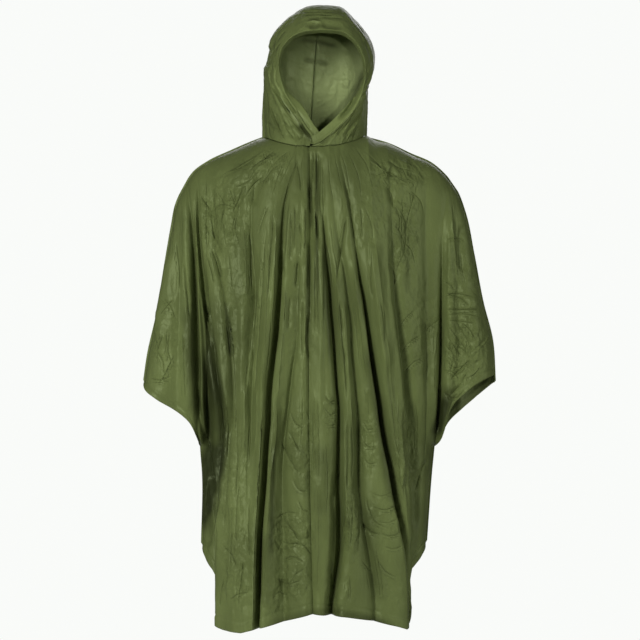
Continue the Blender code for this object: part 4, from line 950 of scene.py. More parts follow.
# Strokes of the fronts: by kind, paths of (px, py) in the view of the photograph.
FRONT_STROKES = {
    "slit": (
        # the fold from the left underarm to the body's side, the right sleeve's edge, and
        # the slit at the right of the lap
        ((197, 380), (200, 415), (204, 440), (208, 462), (211, 482), (212.5, 500)),
        ((440, 384), (439, 410), (438, 434)),
        ((335, 470), (333, 500), (333.5, 530), (331, 565), (330, 592))),
    "over_left": (
        # the lap band's free edge, and light bands that lie over what is right of them
        ((322.4, 150), (322.8, 200), (323, 260), (323.4, 330), (322.6, 385), (323, 432)),
        ((388, 240), (390, 270), (392, 300), (396, 330), (399, 352), (402, 380), (404, 410),
         (406, 440), (408, 470), (410, 500), (411, 530), (408, 570)),
        ((257, 520), (256, 560), (255, 604)), ((343, 180), (348, 204), (351, 226), (354, 244)),
        ((247.5, 300), (246, 350), (248, 400), (249.5, 440), (249, 470)),
        ((228, 300), (233, 330), (236, 360)), ((345, 300), (348, 340), (350, 380))),
    "over_right": (
        ((262, 236), (259, 290), (254, 340), (246, 402)),
        ((221, 496), (217, 515), (213.5, 538)), ((289, 200), (286, 240), (284, 280)),
        ((368, 240), (372, 280), (378, 330), (384, 378)), ((291, 395), (288, 420), (284, 444)),
        ((448, 230), (447, 280), (446, 330)), ((302, 560), (303, 580), (300, 598))),
    "nick": (
        ((309.5, 184), (310, 200), (311, 214)), ((315.5, 212), (317, 226), (318, 240)),
        ((309, 240), (308.6, 262), (308.4, 290)), ((307.5, 312), (307, 336), (308, 362)),
        ((222, 400), (224, 424), (223, 444)), ((213, 340), (216, 366), (219, 392)),
        ((204, 300), (208, 326), (211, 350)), ((228, 316), (231, 336), (232, 358))),
    "crease": (
        ((183, 262), (185, 280), (188, 300), (190, 320)),
        ((226, 322), (229, 340), (231, 356)),
        ((250, 228), (251.5, 260), (252, 292)),
        ((266, 226), (264, 265), (261, 310), (258, 350), (254, 400)),
        ((273.5, 214), (271, 250), (268, 300)),
        ((290, 296), (288, 332)), ((298, 262), (296, 288)),
        ((347, 214), (343, 240), (340, 260), (337, 282)),
        ((340, 298), (342, 330), (345, 360), (347, 402)),
        ((418, 184), (411, 208), (404, 236)), ((395, 204), (402, 212), (406, 226), (405, 250)),
        ((425, 318), (426.5, 350), (427, 384)),
        ((280, 540), (286.7, 543), (303, 545), (313, 555)),
        ((286.7, 521.7), (293, 531), (300, 541)),
        ((281.7, 440), (286.7, 453), (291.7, 463), (299, 474)),
        ((288, 431), (294, 440), (299.5, 451)),
        ((347.5, 418), (347.8, 455), (347.5, 492)),
        ((361.7, 523), (370, 531), (380, 535)),
        ((414.7, 490), (420, 474), (427, 459)),
        ((212, 249), (218, 266), (221.5, 279)), ((211, 216), (215, 238), (222, 253)),
        ((232, 213), (238, 201), (244, 185)), ((445, 293), (460, 298), (470, 306)),
        ((459, 325), (466, 338), (472, 352)), ((444, 309), (462, 309.5), (480, 309)),
        ((470, 360), (460, 369), (450, 381)), ((443, 392), (455, 398), (463, 391)),
        ((467, 355), (464, 350), (457, 346)), ((450, 396), (459, 386), (468, 372))),
    "hair": (
        # creases that fan out from the neck
        ((299, 156), (294, 172), (288, 190), (284, 208)), ((303, 152), (302, 176), (304, 196)),
        ((290, 152), (280, 172), (272, 196)), ((282, 150), (268, 172), (258, 196)),
        ((276, 148), (258, 166), (246, 186)), ((296, 150), (288, 168), (280, 184)),
        ((334, 150), (338, 170), (343, 192)), ((340, 150), (347, 172), (350, 196)),
        ((348, 150), (358, 174), (362, 200)), ((356, 148), (368, 168), (374, 190)),
        ((328, 152), (330, 180), (334, 206)), ((364, 150), (380, 166), (390, 182)),
        ((319.5, 152), (320, 190), (321, 222)), ((268, 206), (262, 222), (258, 236)),
        ((290, 210), (292, 236), (290, 256)), ((330, 220), (334, 250), (339, 276)),
        # down the body
        ((272, 300), (270, 340), (266, 380)), ((258, 300), (256, 340), (252, 372)),
        ((286, 300), (283, 336), (280, 366)), ((300, 270), (298, 310), (298, 340)),
        ((303, 396), (302, 430), (300, 450)), ((312, 396), (312.5, 440), (313, 480)),
        ((318, 396), (319, 440), (319, 480)), ((326, 440), (328, 480), (327, 520)),
        ((250, 420), (248, 460), (246, 500)), ((232, 500), (231, 540), (229, 580)),
        ((352, 300), (357, 340), (360, 370)), ((362, 300), (368, 340), (372, 372)),
        ((376, 400), (384, 440), (392, 470)), ((392, 400), (396, 440), (402, 470)),
        ((194, 200), (195, 240), (197, 280)), ((176, 200), (173, 230), (171, 262)),
        ((154, 330), (157, 350), (156, 368)), ((474, 260), (478, 290), (482, 320)),
        ((452, 200), (455, 230), (458, 262)), ((416, 400), (417, 430), (416, 460)),
        ((426, 400), (426, 430), (424, 462)), ((212, 500), (216, 530), (215, 570))),
    "fine": (
        # left shoulder and chest
        ((217, 178), (228, 172), (240, 168), (262, 152)), ((233, 180), (250, 168), (268, 157)),
        ((235, 188), (250, 180), (262, 168)), ((200, 195), (206, 203), (212, 212)),
        ((212, 212), (219, 205), (236, 207)), ((229, 188), (233, 197), (236, 206)),
        ((222, 222), (224, 233), (226, 246)), ((205, 222), (209, 236), (207, 250)),
        ((216, 190), (222, 199), (224, 212)), ((238, 214), (236, 230), (240, 246)),
        ((206, 256), (211, 268), (214, 284)), ((228, 252), (231, 270), (232, 290)),
        ((248, 172), (262, 160), (276, 150)), ((270, 168), (280, 158), (290, 150)),
        ((262, 184), (272, 170), (282, 162)), ((245, 196), (256, 182), (264, 176)),
        # left sleeve
        ((163, 298), (170, 306), (176, 318)), ((156, 350), (163, 361), (165, 374)),
        ((150, 378), (160, 380), (170, 377)), ((176, 240), (179, 262), (180, 290)),
        ((170, 330), (168, 348), (172, 366)), ((182, 340), (184, 370), (186, 398)),
        # beside the centre
        ((314, 250), (314.2, 290), (314, 330)), ((318, 245), (318.2, 290), (318, 335)),
        ((313.4, 150), (313.2, 166), (313, 182)), ((317, 150), (317, 185), (315.2, 206)),
        ((300, 222), (301, 240), (300, 258)), ((292, 214), (291, 236), (290, 262)),
        ((303, 300), (302, 330), (302, 358)), ((296, 160), (300, 176), (301, 192)),
        # right chest
        ((395, 205), (400, 218), (399, 232)), ((403, 197), (402.5, 206), (402, 216)),
        ((398, 225), (405, 250), (400, 262), (395, 276)), ((376, 176), (386, 172), (400, 178)),
        ((388, 160), (400, 168), (412, 170)), ((400, 178), (408, 182), (416, 181)),
        ((410, 190), (420, 200), (424, 214)), ((386, 186), (392, 196), (393, 208)),
        ((404, 242), (412, 250), (415, 264)), ((388, 262), (394, 276), (393, 294)),
        ((400, 326), (408, 316), (414, 311)), ((400, 353), (410, 342), (421, 335)),
        ((425, 331), (433, 324), (441, 318)), ((404, 372), (414, 362), (424, 358)),
        ((360, 205), (362, 222), (361, 240)), ((372, 250), (371, 275), (373, 300)),
        ((366, 208), (372, 226), (372, 244)), ((380, 300), (384, 320), (385, 345)),
        # right sleeve
        ((445, 315), (462, 314), (480, 316)), ((446, 320), (458, 321), (476, 323)),
        ((446, 240), (456, 238), (466, 241)), ((445, 295), (456, 294), (474, 296)),
        ((448, 326), (458, 338), (466, 350)), ((446, 334), (454, 345), (462, 356)),
        ((445, 345), (451, 352), (460, 362)), ((462, 322), (470, 330), (476, 340)),
        ((448, 362), (456, 368), (462, 366)), ((452, 376), (460, 372), (470, 360)),
        ((470, 352), (478, 346), (487, 338)), ((444, 282), (450, 284), (454, 290)),
        ((460, 252), (462, 268), (466, 284)), ((446, 356), (452, 360), (450, 372)),
        # lower left
        ((224, 577), (221, 592), (220, 608)), ((244, 560), (241, 585), (238, 607)),
        ((237, 420), (238, 460), (236, 500)), ((228, 455), (227, 490), (224, 530)),
        ((240, 480), (237, 510), (236, 545)), ((250, 500), (249, 530), (250, 562)),
        ((222, 545), (230, 552), (236, 566)), ((230, 600), (238, 594), (250, 592)),
        # lower centre
        ((292, 478), (300, 490), (308, 492)), ((276, 520), (288, 512), (300, 514)),
        ((282, 560), (292, 556), (304, 562)), ((276, 578), (288, 584), (302, 580)),
        ((286, 590), (296, 574), (306, 568)), ((272, 600), (280, 592), (288, 596)),
        ((298, 500), (304, 510), (310, 512)), ((290, 412), (296, 424), (304, 428)),
        # lower right
        ((324, 396), (330, 402), (337, 400)), ((325, 408), (331, 415), (337, 412)),
        ((324, 421), (330, 426), (336, 424)), ((363, 422), (369, 430), (375, 428)),
        ((362, 440), (368, 447), (376, 446)), ((364, 459), (370, 464), (377, 462)),
        ((366, 497), (369, 510), (377, 523), (388, 528)),
        ((372, 493), (382, 496), (393, 492)), ((374, 507), (384, 510), (396, 506)),
        ((376, 520), (387, 523), (398, 519)), ((380, 533), (390, 536), (401, 533)),
        ((384, 546), (393, 549), (403, 546)), ((352, 496), (353, 520), (351, 548)),
        ((359, 498), (360, 522), (358, 552)), ((349, 574), (351, 588), (350, 602)),
        ((362, 560), (370, 572), (372, 590)), ((352, 425), (353, 450), (352, 480)),
        ((378, 560), (386, 572), (398, 578))),
    "soft": (
        ((310, 150), (311, 172), (312, 204)), ((318, 150), (320, 176), (321, 206)),
        ((239, 178), (238, 230), (239, 292)),
        ((234, 285), (234, 330), (235, 372), (234, 444)),
        ((411, 214), (411, 255), (410, 300)), ((429, 316), (430, 356), (430, 404)),
        ((357, 420), (357, 460), (356, 500)), ((417, 470), (417, 500), (416, 530)),
        ((178, 205), (176, 250), (172, 300)), ((463, 222), (462, 250), (464, 276)),
        ((281, 392), (280, 425), (278, 458)), ((206, 505), (207, 525), (207, 548)),
        ((390, 168), (392, 186), (394, 204)), ((264, 168), (256, 186), (252, 206)),
        ((337, 604), (336, 614), (334, 618))),
    "ridge": (
        ((195.5, 204), (197, 240), (199, 275), (201, 302)),
        ((244, 223), (246, 260), (247, 302)),
        ((262, 238), (258, 300), (252, 350), (246, 402)),
        ((270, 238), (267, 300), (265, 340), (260, 402)),
        ((277, 214), (275, 260), (273, 300), (271, 332)),
        ((286, 278), (284, 320), (281, 360), (277, 402)),
        ((311.8, 158), (312, 180), (312, 202)), ((314.6, 198), (315, 260), (315, 332)),
        ((335, 258), (338, 300), (341, 340), (345, 382)),
        ((352, 260), (357, 300), (362, 340), (367, 384)),
        ((183, 328), (183.5, 365), (185, 402)),
        ((245, 385), (245, 420), (244, 456)), ((255.5, 385), (256, 420), (254, 456)),
        ((276, 388), (276, 440), (273, 460), (270, 490), (268, 520), (265, 560), (265, 600)),
        ((343, 400), (344, 440), (345, 480), (346, 510), (349, 540), (349, 576)),
        ((368, 388), (368, 402), (369, 417)), ((314, 390), (314, 430), (315, 470)),
        ((317, 480), (318.5, 520), (318, 560), (317, 600)),
        ((398, 392), (398, 430), (400, 468), (402, 500)),
        ((378, 175), (400, 178), (415, 182)), ((214, 250), (219, 260), (222, 271)),
        ((205, 200), (211, 218), (213, 240)), ((452, 215), (455, 250), (459, 284)),
        ((437, 330), (435, 360), (434, 396)), ((375, 545), (380, 570), (384, 604))),
    "lip": (
        # light edges along slits, and light streaks
        ((219, 177), (245, 163), (266, 150)), ((236, 178), (255, 165), (275, 155)),
        ((238, 190), (258, 174), (278, 155)), ((160, 315), (166, 307), (172, 300)),
        ((162, 335), (160, 342), (158, 350)), ((158, 385), (166, 372), (173, 355)),
        ((282, 243), (283, 256), (284, 271)), ((221, 496), (217, 515), (213, 537)),
        ((257, 530), (255.5, 565), (254, 600)), ((370, 160), (377, 165), (385, 171)),
        ((396, 280), (394, 286), (393, 293)), ((351, 398), (351.5, 410), (352.5, 424)),
        ((468, 378), (475, 373), (480, 366)), ((478, 350), (484, 345), (490, 336)),
        ((262, 405), (261, 440), (258, 480), (256, 520)),
        ((326, 240), (330, 262), (333, 288)), ((294, 205), (295, 228), (294, 250)),
        ((305, 205), (305, 228), (304, 252)), ((226, 400), (228, 430), (227, 460)),
        ((450, 340), (455, 349), (457, 362)), ((446, 370), (453, 372), (459, 380))),
    "swell": (
        ((299, 192), (299, 230), (298, 268)),
        ((372, 236), (378, 290), (385, 345), (388, 382)),
        ((231, 196), (229, 214), (231, 234)), ((450, 300), (452, 330), (453, 356)),
        ((226, 420), (227, 470), (226, 520)), ((295, 443), (297, 456), (296, 470)),
        ((398, 392), (399, 440), (402, 486)), ((290, 552), (292, 576), (292, 600)),
        ((165, 250), (160, 300), (160, 350)), ((470, 290), (474, 330), (476, 362)))}

# Painted shade: paths along which the film's colour is darkened where shade falls, in folds,
# recesses, gaps, under the neck and along the hem turning, by how much.
FRONT_PAINTED_SHADE = {
    "deep": (
        ((203, 340), (205, 370), (207, 400), (209, 440), (208, 480), (206, 520), (208, 540)),
        ((207, 322), (211, 350), (215, 380), (220, 412), (223, 440), (219, 470), (213, 500))),
    "dim": (
        ((210, 280), (216, 320), (224, 360), (228, 400), (230, 430)),
        ((233, 215), (237, 250), (238, 290), (239, 330), (237, 370), (233, 410)),
        ((350, 400), (354, 430), (356, 460), (358, 490), (362, 530), (368, 570)),
        ((279, 430), (278, 460), (277, 500), (276, 540)),
        ((424, 260), (430, 330), (428, 420), (424, 500)),
        ((268, 530), (266, 570), (264, 612)), ((366, 500), (372, 550), (376, 600)),
        ((322, 440), (324, 480), (322, 520)), ((297, 440), (300, 470), (304, 500))),
    "band": (
        ((262, 629), (286, 622), (312, 615), (332, 613), (352, 617), (378, 623), (402, 635)),
        ((451, 382), (445, 404), (438, 430), (434, 444)), ((446, 396), (442, 414), (436, 436)),
        ((216, 440), (214, 480), (212, 520)), ((201, 445), (202, 490), (202, 535)),
        ((366, 334), (370, 360), (376, 400), (383, 440), (390, 480), (398, 520)),
        ((187, 300), (189, 340), (192, 390), (195, 424))),
    "veil": (((268, 160), (290, 168), (320, 176), (346, 172), (370, 166)),),
    "shade_line": (
        ((226, 300), (229, 330), (231, 360)), ((309, 176), (310, 200), (311, 232)),
        ((317, 150), (317, 200), (317, 300)), ((308, 250), (308, 300), (308, 352)),
        ((323, 238), (325, 270), (328, 320), (331, 370)),
        ((274, 440), (273, 470), (272, 510), (271, 560)))}
# Painted shade of the hood: the dark V at the neck, dark crease lines inside and the gap inside the
# rim.
HOOD_PAINTED_SHADE = {
    "deep": (((300, 122), (307, 130), (315, 138)), ((328, 129), (322, 136), (317, 141))),
    "shade_line": (
        ((298, 42), (306, 40.5), (315, 41.5), (322, 43), (331, 45.5), (339, 46)),
        ((366, 66), (362, 76), (358, 86), (353, 98), (347, 108), (343, 114)),
        ((303, 59), (313, 61), (320, 62), (329, 65.5)), ((306, 27), (322, 26), (344, 29)))}
# Painted shade of the back, in the same way.
BACK_PAINTED_SHADE = {
    "deep": (((205, 330), (209, 380), (212, 440), (210, 500)),),
    "dim": (((232, 240), (238, 320), (234, 420)), ((352, 400), (358, 480), (366, 560)),
            ((404, 260), (410, 340), (408, 430)))}

# Crumpled patches: the middle and half sizes in view coordinates, and the strength.
Patch = namedtuple("Patch", "px py half_x half_y strength")
FRONT_PATCHES = tuple(Patch(*p) for p in (
    (223, 214, 27, 40, 1.0), (262, 168, 28, 16, 0.8), (398, 174, 32, 17, 1.0),
    (404, 236, 17, 52, 0.8), (464, 352, 22, 42, 1.1), (461, 285, 21, 36, 0.5),
    (166, 345, 22, 46, 0.45), (292, 536, 22, 26, 1.2), (294, 580, 20, 24, 1.0),
    (303, 448, 15, 44, 0.7), (330, 412, 9, 20, 1.0), (369, 444, 10, 36, 1.0),
    (386, 520, 17, 34, 0.6), (352, 526, 11, 36, 0.8), (240, 565, 22, 52, 0.8),
    (234, 478, 18, 60, 0.55), (406, 456, 15, 54, 0.6), (389, 592, 20, 20, 0.4),
    (270, 600, 30, 22, 0.6), (300, 330, 18, 66, 0.35), (235, 310, 26, 62, 0.35),
    (370, 215, 20, 40, 0.5), (340, 590, 16, 28, 0.6), (418, 330, 22, 60, 0.5)))

# The back's strokes are given the same way, in the view of its own side: px runs to the
# wearer's right, as it would in the front view seen through the garment.
BACK_STROKES = {
    "slit": (((306, 160), (304, 190), (300, 230)), ((352, 420), (356, 470), (358, 520)),
             ((240, 430), (243, 480), (242, 540))),
    "crease": (
        ((196, 210), (199, 250), (206, 300), (212, 340)), ((262, 176), (256, 220), (250, 270)),
        ((270, 300), (266, 350), (262, 410)), ((336, 200), (340, 250), (346, 310)),
        ((356, 240), (360, 300), (360, 360)), ((398, 250), (402, 300), (402, 360)),
        ((428, 240), (424, 300), (424, 360)), ((310, 300), (306, 350), (302, 420)),
        ((288, 250), (284, 300), (282, 340)), ((222, 300), (226, 350), (226, 400)),
        ((330, 430), (338, 450), (350, 458)), ((326, 460), (336, 476), (346, 480)),
        ((262, 470), (272, 486), (286, 490)), ((180, 300), (170, 312), (158, 318)),
        ((176, 340), (166, 356), (154, 360)), ((450, 300), (462, 312), (476, 316)),
        ((452, 346), (462, 362), (474, 368)), ((382, 430), (392, 446), (400, 448)),
        ((300, 520), (310, 530), (326, 532)), ((236, 520), (248, 530), (256, 528))),
    "fine": (
        ((232, 172), (250, 164), (272, 152)), ((238, 186), (256, 172), (276, 160)),
        ((250, 196), (262, 184), (276, 170)), ((392, 160), (404, 168), (420, 172)),
        ((380, 170), (396, 180), (410, 190)), ((376, 182), (388, 194), (396, 210)),
        ((214, 196), (222, 210), (226, 228)), ((226, 214), (232, 230), (230, 248)),
        ((404, 204), (412, 220), (414, 240)), ((418, 200), (424, 216), (424, 236)),
        ((312, 160), (313, 190), (314, 230)), ((326, 160), (326, 190), (330, 226)),
        ((318, 240), (318, 280), (322, 330)), ((300, 290), (298, 330), (296, 370)),
        ((344, 330), (348, 370), (350, 410)), ((372, 230), (374, 280), (376, 330)),
        ((380, 350), (382, 390), (382, 430)), ((256, 300), (252, 350), (250, 400)),
        ((236, 350), (236, 390), (238, 430)), ((214, 420), (216, 450), (214, 490)),
        ((280, 500), (290, 510), (300, 508)), ((310, 540), (322, 546), (336, 542)),
        ((270, 540), (280, 548), (292, 546)), ((350, 530), (362, 538), (374, 534)),
        ((388, 480), (396, 492), (404, 492)), ((390, 510), (398, 520), (408, 520)),
        ((450, 250), (462, 256), (474, 254)), ((452, 270), (464, 274), (478, 274)),
        ((160, 270), (172, 272), (184, 268)), ((158, 290), (170, 294), (182, 290)),
        ((450, 326), (460, 330), (480, 328)), ((160, 332), (172, 338), (184, 334))),
    "soft": (
        ((250, 210), (244, 260), (240, 320)), ((388, 200), (390, 250), (392, 310)),
        ((330, 330), (330, 380), (330, 420)), ((276, 380), (274, 430), (272, 480)),
        ((462, 240), (466, 280), (470, 320)), ((170, 240), (166, 280), (162, 330)),
        ((368, 480), (368, 520), (366, 556)), ((222, 470), (224, 510), (226, 550))),
    "ridge": (
        ((276, 200), (272, 250), (268, 300)), ((262, 320), (258, 370), (254, 420)),
        ((330, 190), (334, 240), (338, 290)), ((318, 340), (316, 390), (314, 440)),
        ((366, 260), (368, 310), (370, 370)), ((412, 260), (412, 310), (412, 370)),
        ((288, 400), (288, 450), (286, 500)), ((344, 440), (346, 490), (346, 540)),
        ((232, 400), (232, 450), (234, 500)), ((394, 380), (394, 430), (392, 480))),
    "lip": (
        ((240, 176), (256, 166), (274, 156)), ((386, 164), (400, 174), (414, 180)),
        ((300, 180), (298, 210), (292, 250)), ((342, 180), (346, 220), (350, 260)),
        ((206, 230), (210, 260), (216, 290)), ((434, 230), (432, 260), (430, 300))),
    "swell": (
        ((300, 200), (298, 240), (296, 290)), ((372, 200), (376, 250), (380, 310)),
        ((226, 220), (228, 260), (232, 310)), ((340, 360), (342, 410), (342, 460)),
        ((250, 440), (250, 480), (252, 530)), ((384, 440), (386, 480), (388, 520)))}
BACK_PATCHES = tuple(Patch(*p) for p in (
    (240, 178, 30, 22, 0.9), (404, 184, 30, 24, 0.9), (462, 338, 22, 44, 0.8),
    (166, 330, 22, 44, 0.7), (320, 500, 36, 44, 1.0), (262, 420, 20, 56, 0.6),
    (380, 460, 20, 50, 0.7), (318, 290, 30, 44, 0.45), (220, 250, 24, 50, 0.6),
    (290, 560, 50, 20, 0.6), (356, 300, 20, 60, 0.4)))
RELIEF = {"front": (FRONT_STROKES, FRONT_PATCHES, 0), "back": (BACK_STROKES, BACK_PATCHES, 20)}
STREAK_CELL = (0.0100, 0.052)      # cells of the upright crumple all over the body
GRAIN_CELL = (0.0060, 0.014)
PATCH_CELL = (0.0130, 0.0170)      # cells of the crumple in the patches
STREAK_RISE = 0.00080
GRAIN_RISE = 0.00035
PATCH_RISE = 0.0030
PATCH_FLOOR = 0.10       # share of the patches' crumple that is there all over
PATCH_EDGE = (1.35, 0.45)         # in half sizes: where a patch begins, and has its full strength
PATCH_FINER = (2.1, 1.8)          # how much smaller the patches' second cells are
FINER_SHARE = 0.5        # height of the second cells, as a share of the first ones'


def patch_strength(patches, px, py):
    """How strongly the film is crumpled at view coordinates, from 0 up."""
    total = np.full(np.shape(px), PATCH_FLOOR)
    for p in patches:
        away = np.hypot((px - p.px) / p.half_x, (py - p.py) / p.half_y)
        total = np.maximum(total, p.strength * smoothstep(*PATCH_EDGE, away))
    return total


def film_relief(face, points):
    """Creases and crumple of a body sheet at its own points, in metres."""
    strokes, patches, layer = RELIEF[face]
    x, z = points[..., 0], points[..., 2]
    px, py = seen(points if face == "front" else points * (1, -1, 1))
    strength = patch_strength(patches, px, py)
    streaks = crumple(x / STREAK_CELL[0], z / STREAK_CELL[1], layer)
    grain = crumple(x / GRAIN_CELL[0], z / GRAIN_CELL[1], layer + 5)
    coarse = crumple(x / PATCH_CELL[0], z / PATCH_CELL[1], layer + 7)
    finer = crumple(PATCH_FINER[0] * x / PATCH_CELL[0], PATCH_FINER[1] * z / PATCH_CELL[1],
                    layer + 11)
    return (stroke_relief(strokes, px, py, layer + 2) + STREAK_RISE * streaks + GRAIN_RISE * grain
            + PATCH_RISE * strength * (coarse + FINER_SHARE * finer))


# ---------------------------------------------------------------- dense panels
SHEET = 0.0004           # thickness of a sheet as shown
BODY_SPLITS = 6          # columns of a sheet in one column of the solid, fronts
BACK_SPLITS = 4
SLEEVE_SPLITS = 4
BODY_ROWS = 13           # rows of a sheet in one row of the solid
BACK_ROWS = 10
HEM_BAND = 0.020         # height of the welded hem turning
HEM_CALM = 0.012         # room at a free edge in which the relief is calmer
EDGE_RELIEF = 0.35       # share of the relief that is left at the edge itself
WELD_DEPTH = 0.0020      # depth and half width of the groove of a weld
WELD_HALF = 0.0022
WELD_STEP = 0.0010       # the doubled film of a turning stands out by this
WELD_EDGE = 0.0015       # half width of that step
RECESS_ROOM = 0.008      # a recess ends this far in front of the seam plane
SEAM_CLOSES = (0.014, 0.004)      # distances from the seam plane between which the film closes in
LAP_EDGE = 0.0010        # the left front has its full dip this near to the right one's edge
LAP_RAMP = 0.008         # width over which the left front dips under the right one
UNDERARM = -0.643        # height of the underarm
SLEEVE_WIDTH = 0.11      # mean width of a sleeve, from the armhole to the sleeve top
FIRST_ROW = 0.02         # share of a sleeve's length that its first row takes
LAP_DIPS = (3, 8, 4, 7, 6, 6, 5, 5, 5, 5, 5, 4)    # millimetres, at each of SLIT_HEIGHTS


def finer_rows(count, step):
    """Row places 0..count, with step rows to each row of the solid."""
    return np.linspace(0, count, count * step + 1)


def upper_rows(step):
    """Row places from the shoulder to the underarm."""
    return np.concatenate([[0, 0.5, 1], finer_rows(ROWS_UPPER - 1, step)[1:] + 1])


def lower_shares(step):
    """Shares of the way from the underarm to the hem, closer at the weld of the hem."""
    weld = np.linspace(0.9505, 0.9625, 7)
    return np.unique(np.concatenate([finer_rows(ROWS_LOWER, step)[1:] / ROWS_LOWER, weld]))


def dense_body(face, lines, hem, splits, step):
    """Points (rows, columns, x z) of the body part of a panel."""
    count = SPAN_PARTS * splits * (len(lines) - 1) + 1
    z = np.full(count, -0.05)
    for _ in range(40):
        x = column_places(lines, z, splits)
        z = 0.5 * z + 0.5 * top_edge(face, x)
    top = z.copy()
    z = np.full(count, -0.95)
    for _ in range(80):
        x = column_places(lines, z, splits)
        z = 0.6 * z + 0.4 * z_at(hem, x)
    bottom = z.copy()
    underarm = np.full(count, UNDERARM)
    grid = []
    for row in upper_rows(step):
        z = top - row * FLANGE
        if row > 1:
            down = row_fraction(row - 1, ROWS_UPPER - 1)
            z = top - FLANGE + (underarm - top + FLANGE) * down
        grid.append(np.stack([column_places(lines, z, splits), z], axis=-1))
    for share in lower_shares(step - 2):
        z = underarm + (bottom - underarm) * share
        grid.append(np.stack([column_places(lines, z, splits), z], axis=-1))
    return np.array(grid)


def dense_sleeve(root, outline, tip_share, end, shares, step):
    """Points (rows, columns, x z) of a sleeve, from the armhole line to the sleeve top."""
    start_share = share_of(outline, root[0])
    ends = along(end, shares)
    grid = []
    for place, row in enumerate(upper_rows(step)):
        if row <= 1:
            down = FIRST_ROW * row
        else:
            down = FIRST_ROW + (1 - FIRST_ROW) * row_fraction(row - 1, ROWS_UPPER - 1)
        outer_from = start_share + SLEEVE_START * (1 - start_share)
        outer = along(outline, np.array([outer_from + (tip_share - outer_from) * down]))[0]
        straight = root[place] + (outer - root[place]) * shares[:, None]
        chord = ends[0] + (ends[-1] - ends[0]) * shares[:, None]
        grid.append(straight + (ends - chord) * down ** 2)
    return np.array(grid)


def weld_line(away):
    """A welded turning's groove and the step beside it, by the distance above it."""
    groove = -WELD_DEPTH * np.exp(-(away / WELD_HALF) ** 2)
    return groove + WELD_STEP * smoothstep(WELD_EDGE, -WELD_EDGE, away)


def relieved(face, grid, folded, from_edge, back=0.0):
    """Points of a sheet with its folds and the film's relief, which is weaker at a free edge.

    back: how far a recess moves each point towards the seam plane.
    """
    base = sheet_points(face, grid, folded)
    x, z = grid[..., 0], grid[..., 1]
    hold = smoothstep(0.0, HEM_CALM, top_edge(face, x) - z)
    calm = EDGE_RELIEF + (1 - EDGE_RELIEF) * smoothstep(0, HEM_CALM, from_edge)
    relief = film_relief(face, base) * hold * calm
    relief = relief + weld_line(from_edge - HEM_BAND) * hold
    points = sheet_points(face, grid, folded + relief)
    room = np.abs(points[..., 1]) - RECESS_ROOM
    points[..., 1] -= np.sign(points[..., 1]) * np.clip(back, 0, np.maximum(room, 0))
    return closed_seam(points)


def closed_seam(points):
    """The thin film's edges moved to the seam plane, where front and back are welded."""
    away = np.abs(points[..., 1])
    move = np.clip(away - SHEET, 0, WALL - SHEET) * smoothstep(*SEAM_CLOSES, away)
    points[..., 1] -= np.sign(points[..., 1]) * move
    return points


def dense_panel(face, folds, first, last, hem, sleeves, splits, step):
    """Patches of 3-D points of one panel, with the relief of the film."""
    lines = panel_lines(face, folds, first, last)
    every_line = panel_lines(face, folds, 0, len(folds) + 2)
    body = dense_body(face, lines, hem, splits, step)
    x, z = body[..., 0], body[..., 1]
    folded = fold_height(every_line, x, z) + slit_relief(face, every_line, x, z)
    patches = {"body": relieved(face, body, folded, z - z[-1:], recess(face, lines, x, z))}
    rows = len(upper_rows(step))
    shares = sleeve_shares(SLEEVE_WIDTH, SLEEVE_SPLITS)
    right_end = SLEEVE_END_RIGHT_FRONT if face == "front" else SLEEVE_END_RIGHT_BACK
    sides = {"left": (SLEEVE_END_LEFT, SHOULDER_LEFT, 0),
             "right": (right_end, SHOULDER_RIGHT, -1)}
    for side in sleeves:
        end, outline, column = sides[side]
        armhole = lines[column]
        grid = dense_sleeve(body[:rows, column], outline, share_of(outline, end[-1]), end,
                            shares, step)
        x, z = grid[..., 0], grid[..., 1]
        shape = ARMHOLES[face + "_" + side]
        folded = (sleeve_height(shares, grid, armhole, shape)
                  + slit_relief(face, [armhole], x, z))
        from_end = np.hypot(x - x[-1:], z - z[-1:])
        points = relieved(face, grid, folded, from_end + 0.3 * HEM_BAND)
        points[:, 0] = patches["body"][:rows, column]
        patches[side] = points
    return patches


def dense_lap(left, right, splits):
    """The left front with its centre edge led under the right front's first CAD column."""
    edge = right[:, 0]
    across = right[:, splits] - edge
    inward = np.cross(np.gradient(edge, axis=0), across)
    inward *= np.sign(inward[:, 1:2])
    inward /= np.linalg.norm(inward, axis=1, keepdims=True)
    inward *= MILLIMETRE * smooth(SLIT_HEIGHTS, LAP_DIPS, edge[:, 2:3])
    reach = np.linalg.norm(left - edge[:, None], axis=2)
    dipped = left + inward[:, None] * smoothstep(LAP_RAMP, LAP_EDGE, reach)[..., None]
    under = [right[:, k] + inward for k in range(splits)]
    under.append(edge + across * LAP_SHARE + inward)
    return np.concatenate([dipped[:, :-1], np.stack(under, axis=1)], axis=1)


# ---------------------------------------------------------------- dense hood
HOOD_STOPS = (*HOOD_COLUMNS[:-1], 0.96, 1)      # the sheet's columns, closer at the back seam
HOOD_COLUMN_STEPS = 8    # columns of the sheet between neighbouring stops
HOOD_ROW_STEPS = 12
SEAM_RISE = 0.0040       # how far the seam up the centre back stands out
SEAM_HALF = 0.0060       # its half width, as a share of the hood's columns
NECK_LAP = 0.004         # at the back, the hood's lower edge lies this far below the neck edge
NECK_LAP_TO = 0.06       # share of the height over which that ends
FRONT_HALF = (0.55, 0.45)         # columns where the front's strokes give way to the back's
HOOD_CELLS = (18, 22)    # cells of the hood's crumple across and up, and of its grain
HOOD_GRAIN_CELLS = (38, 44)
HOOD_RISE = 0.0008       # heights of the crumple and the grain
HOOD_GRAIN_RISE = 0.0005
NECK_CALM = 0.05         # share of the height over which the relief grows from the neck

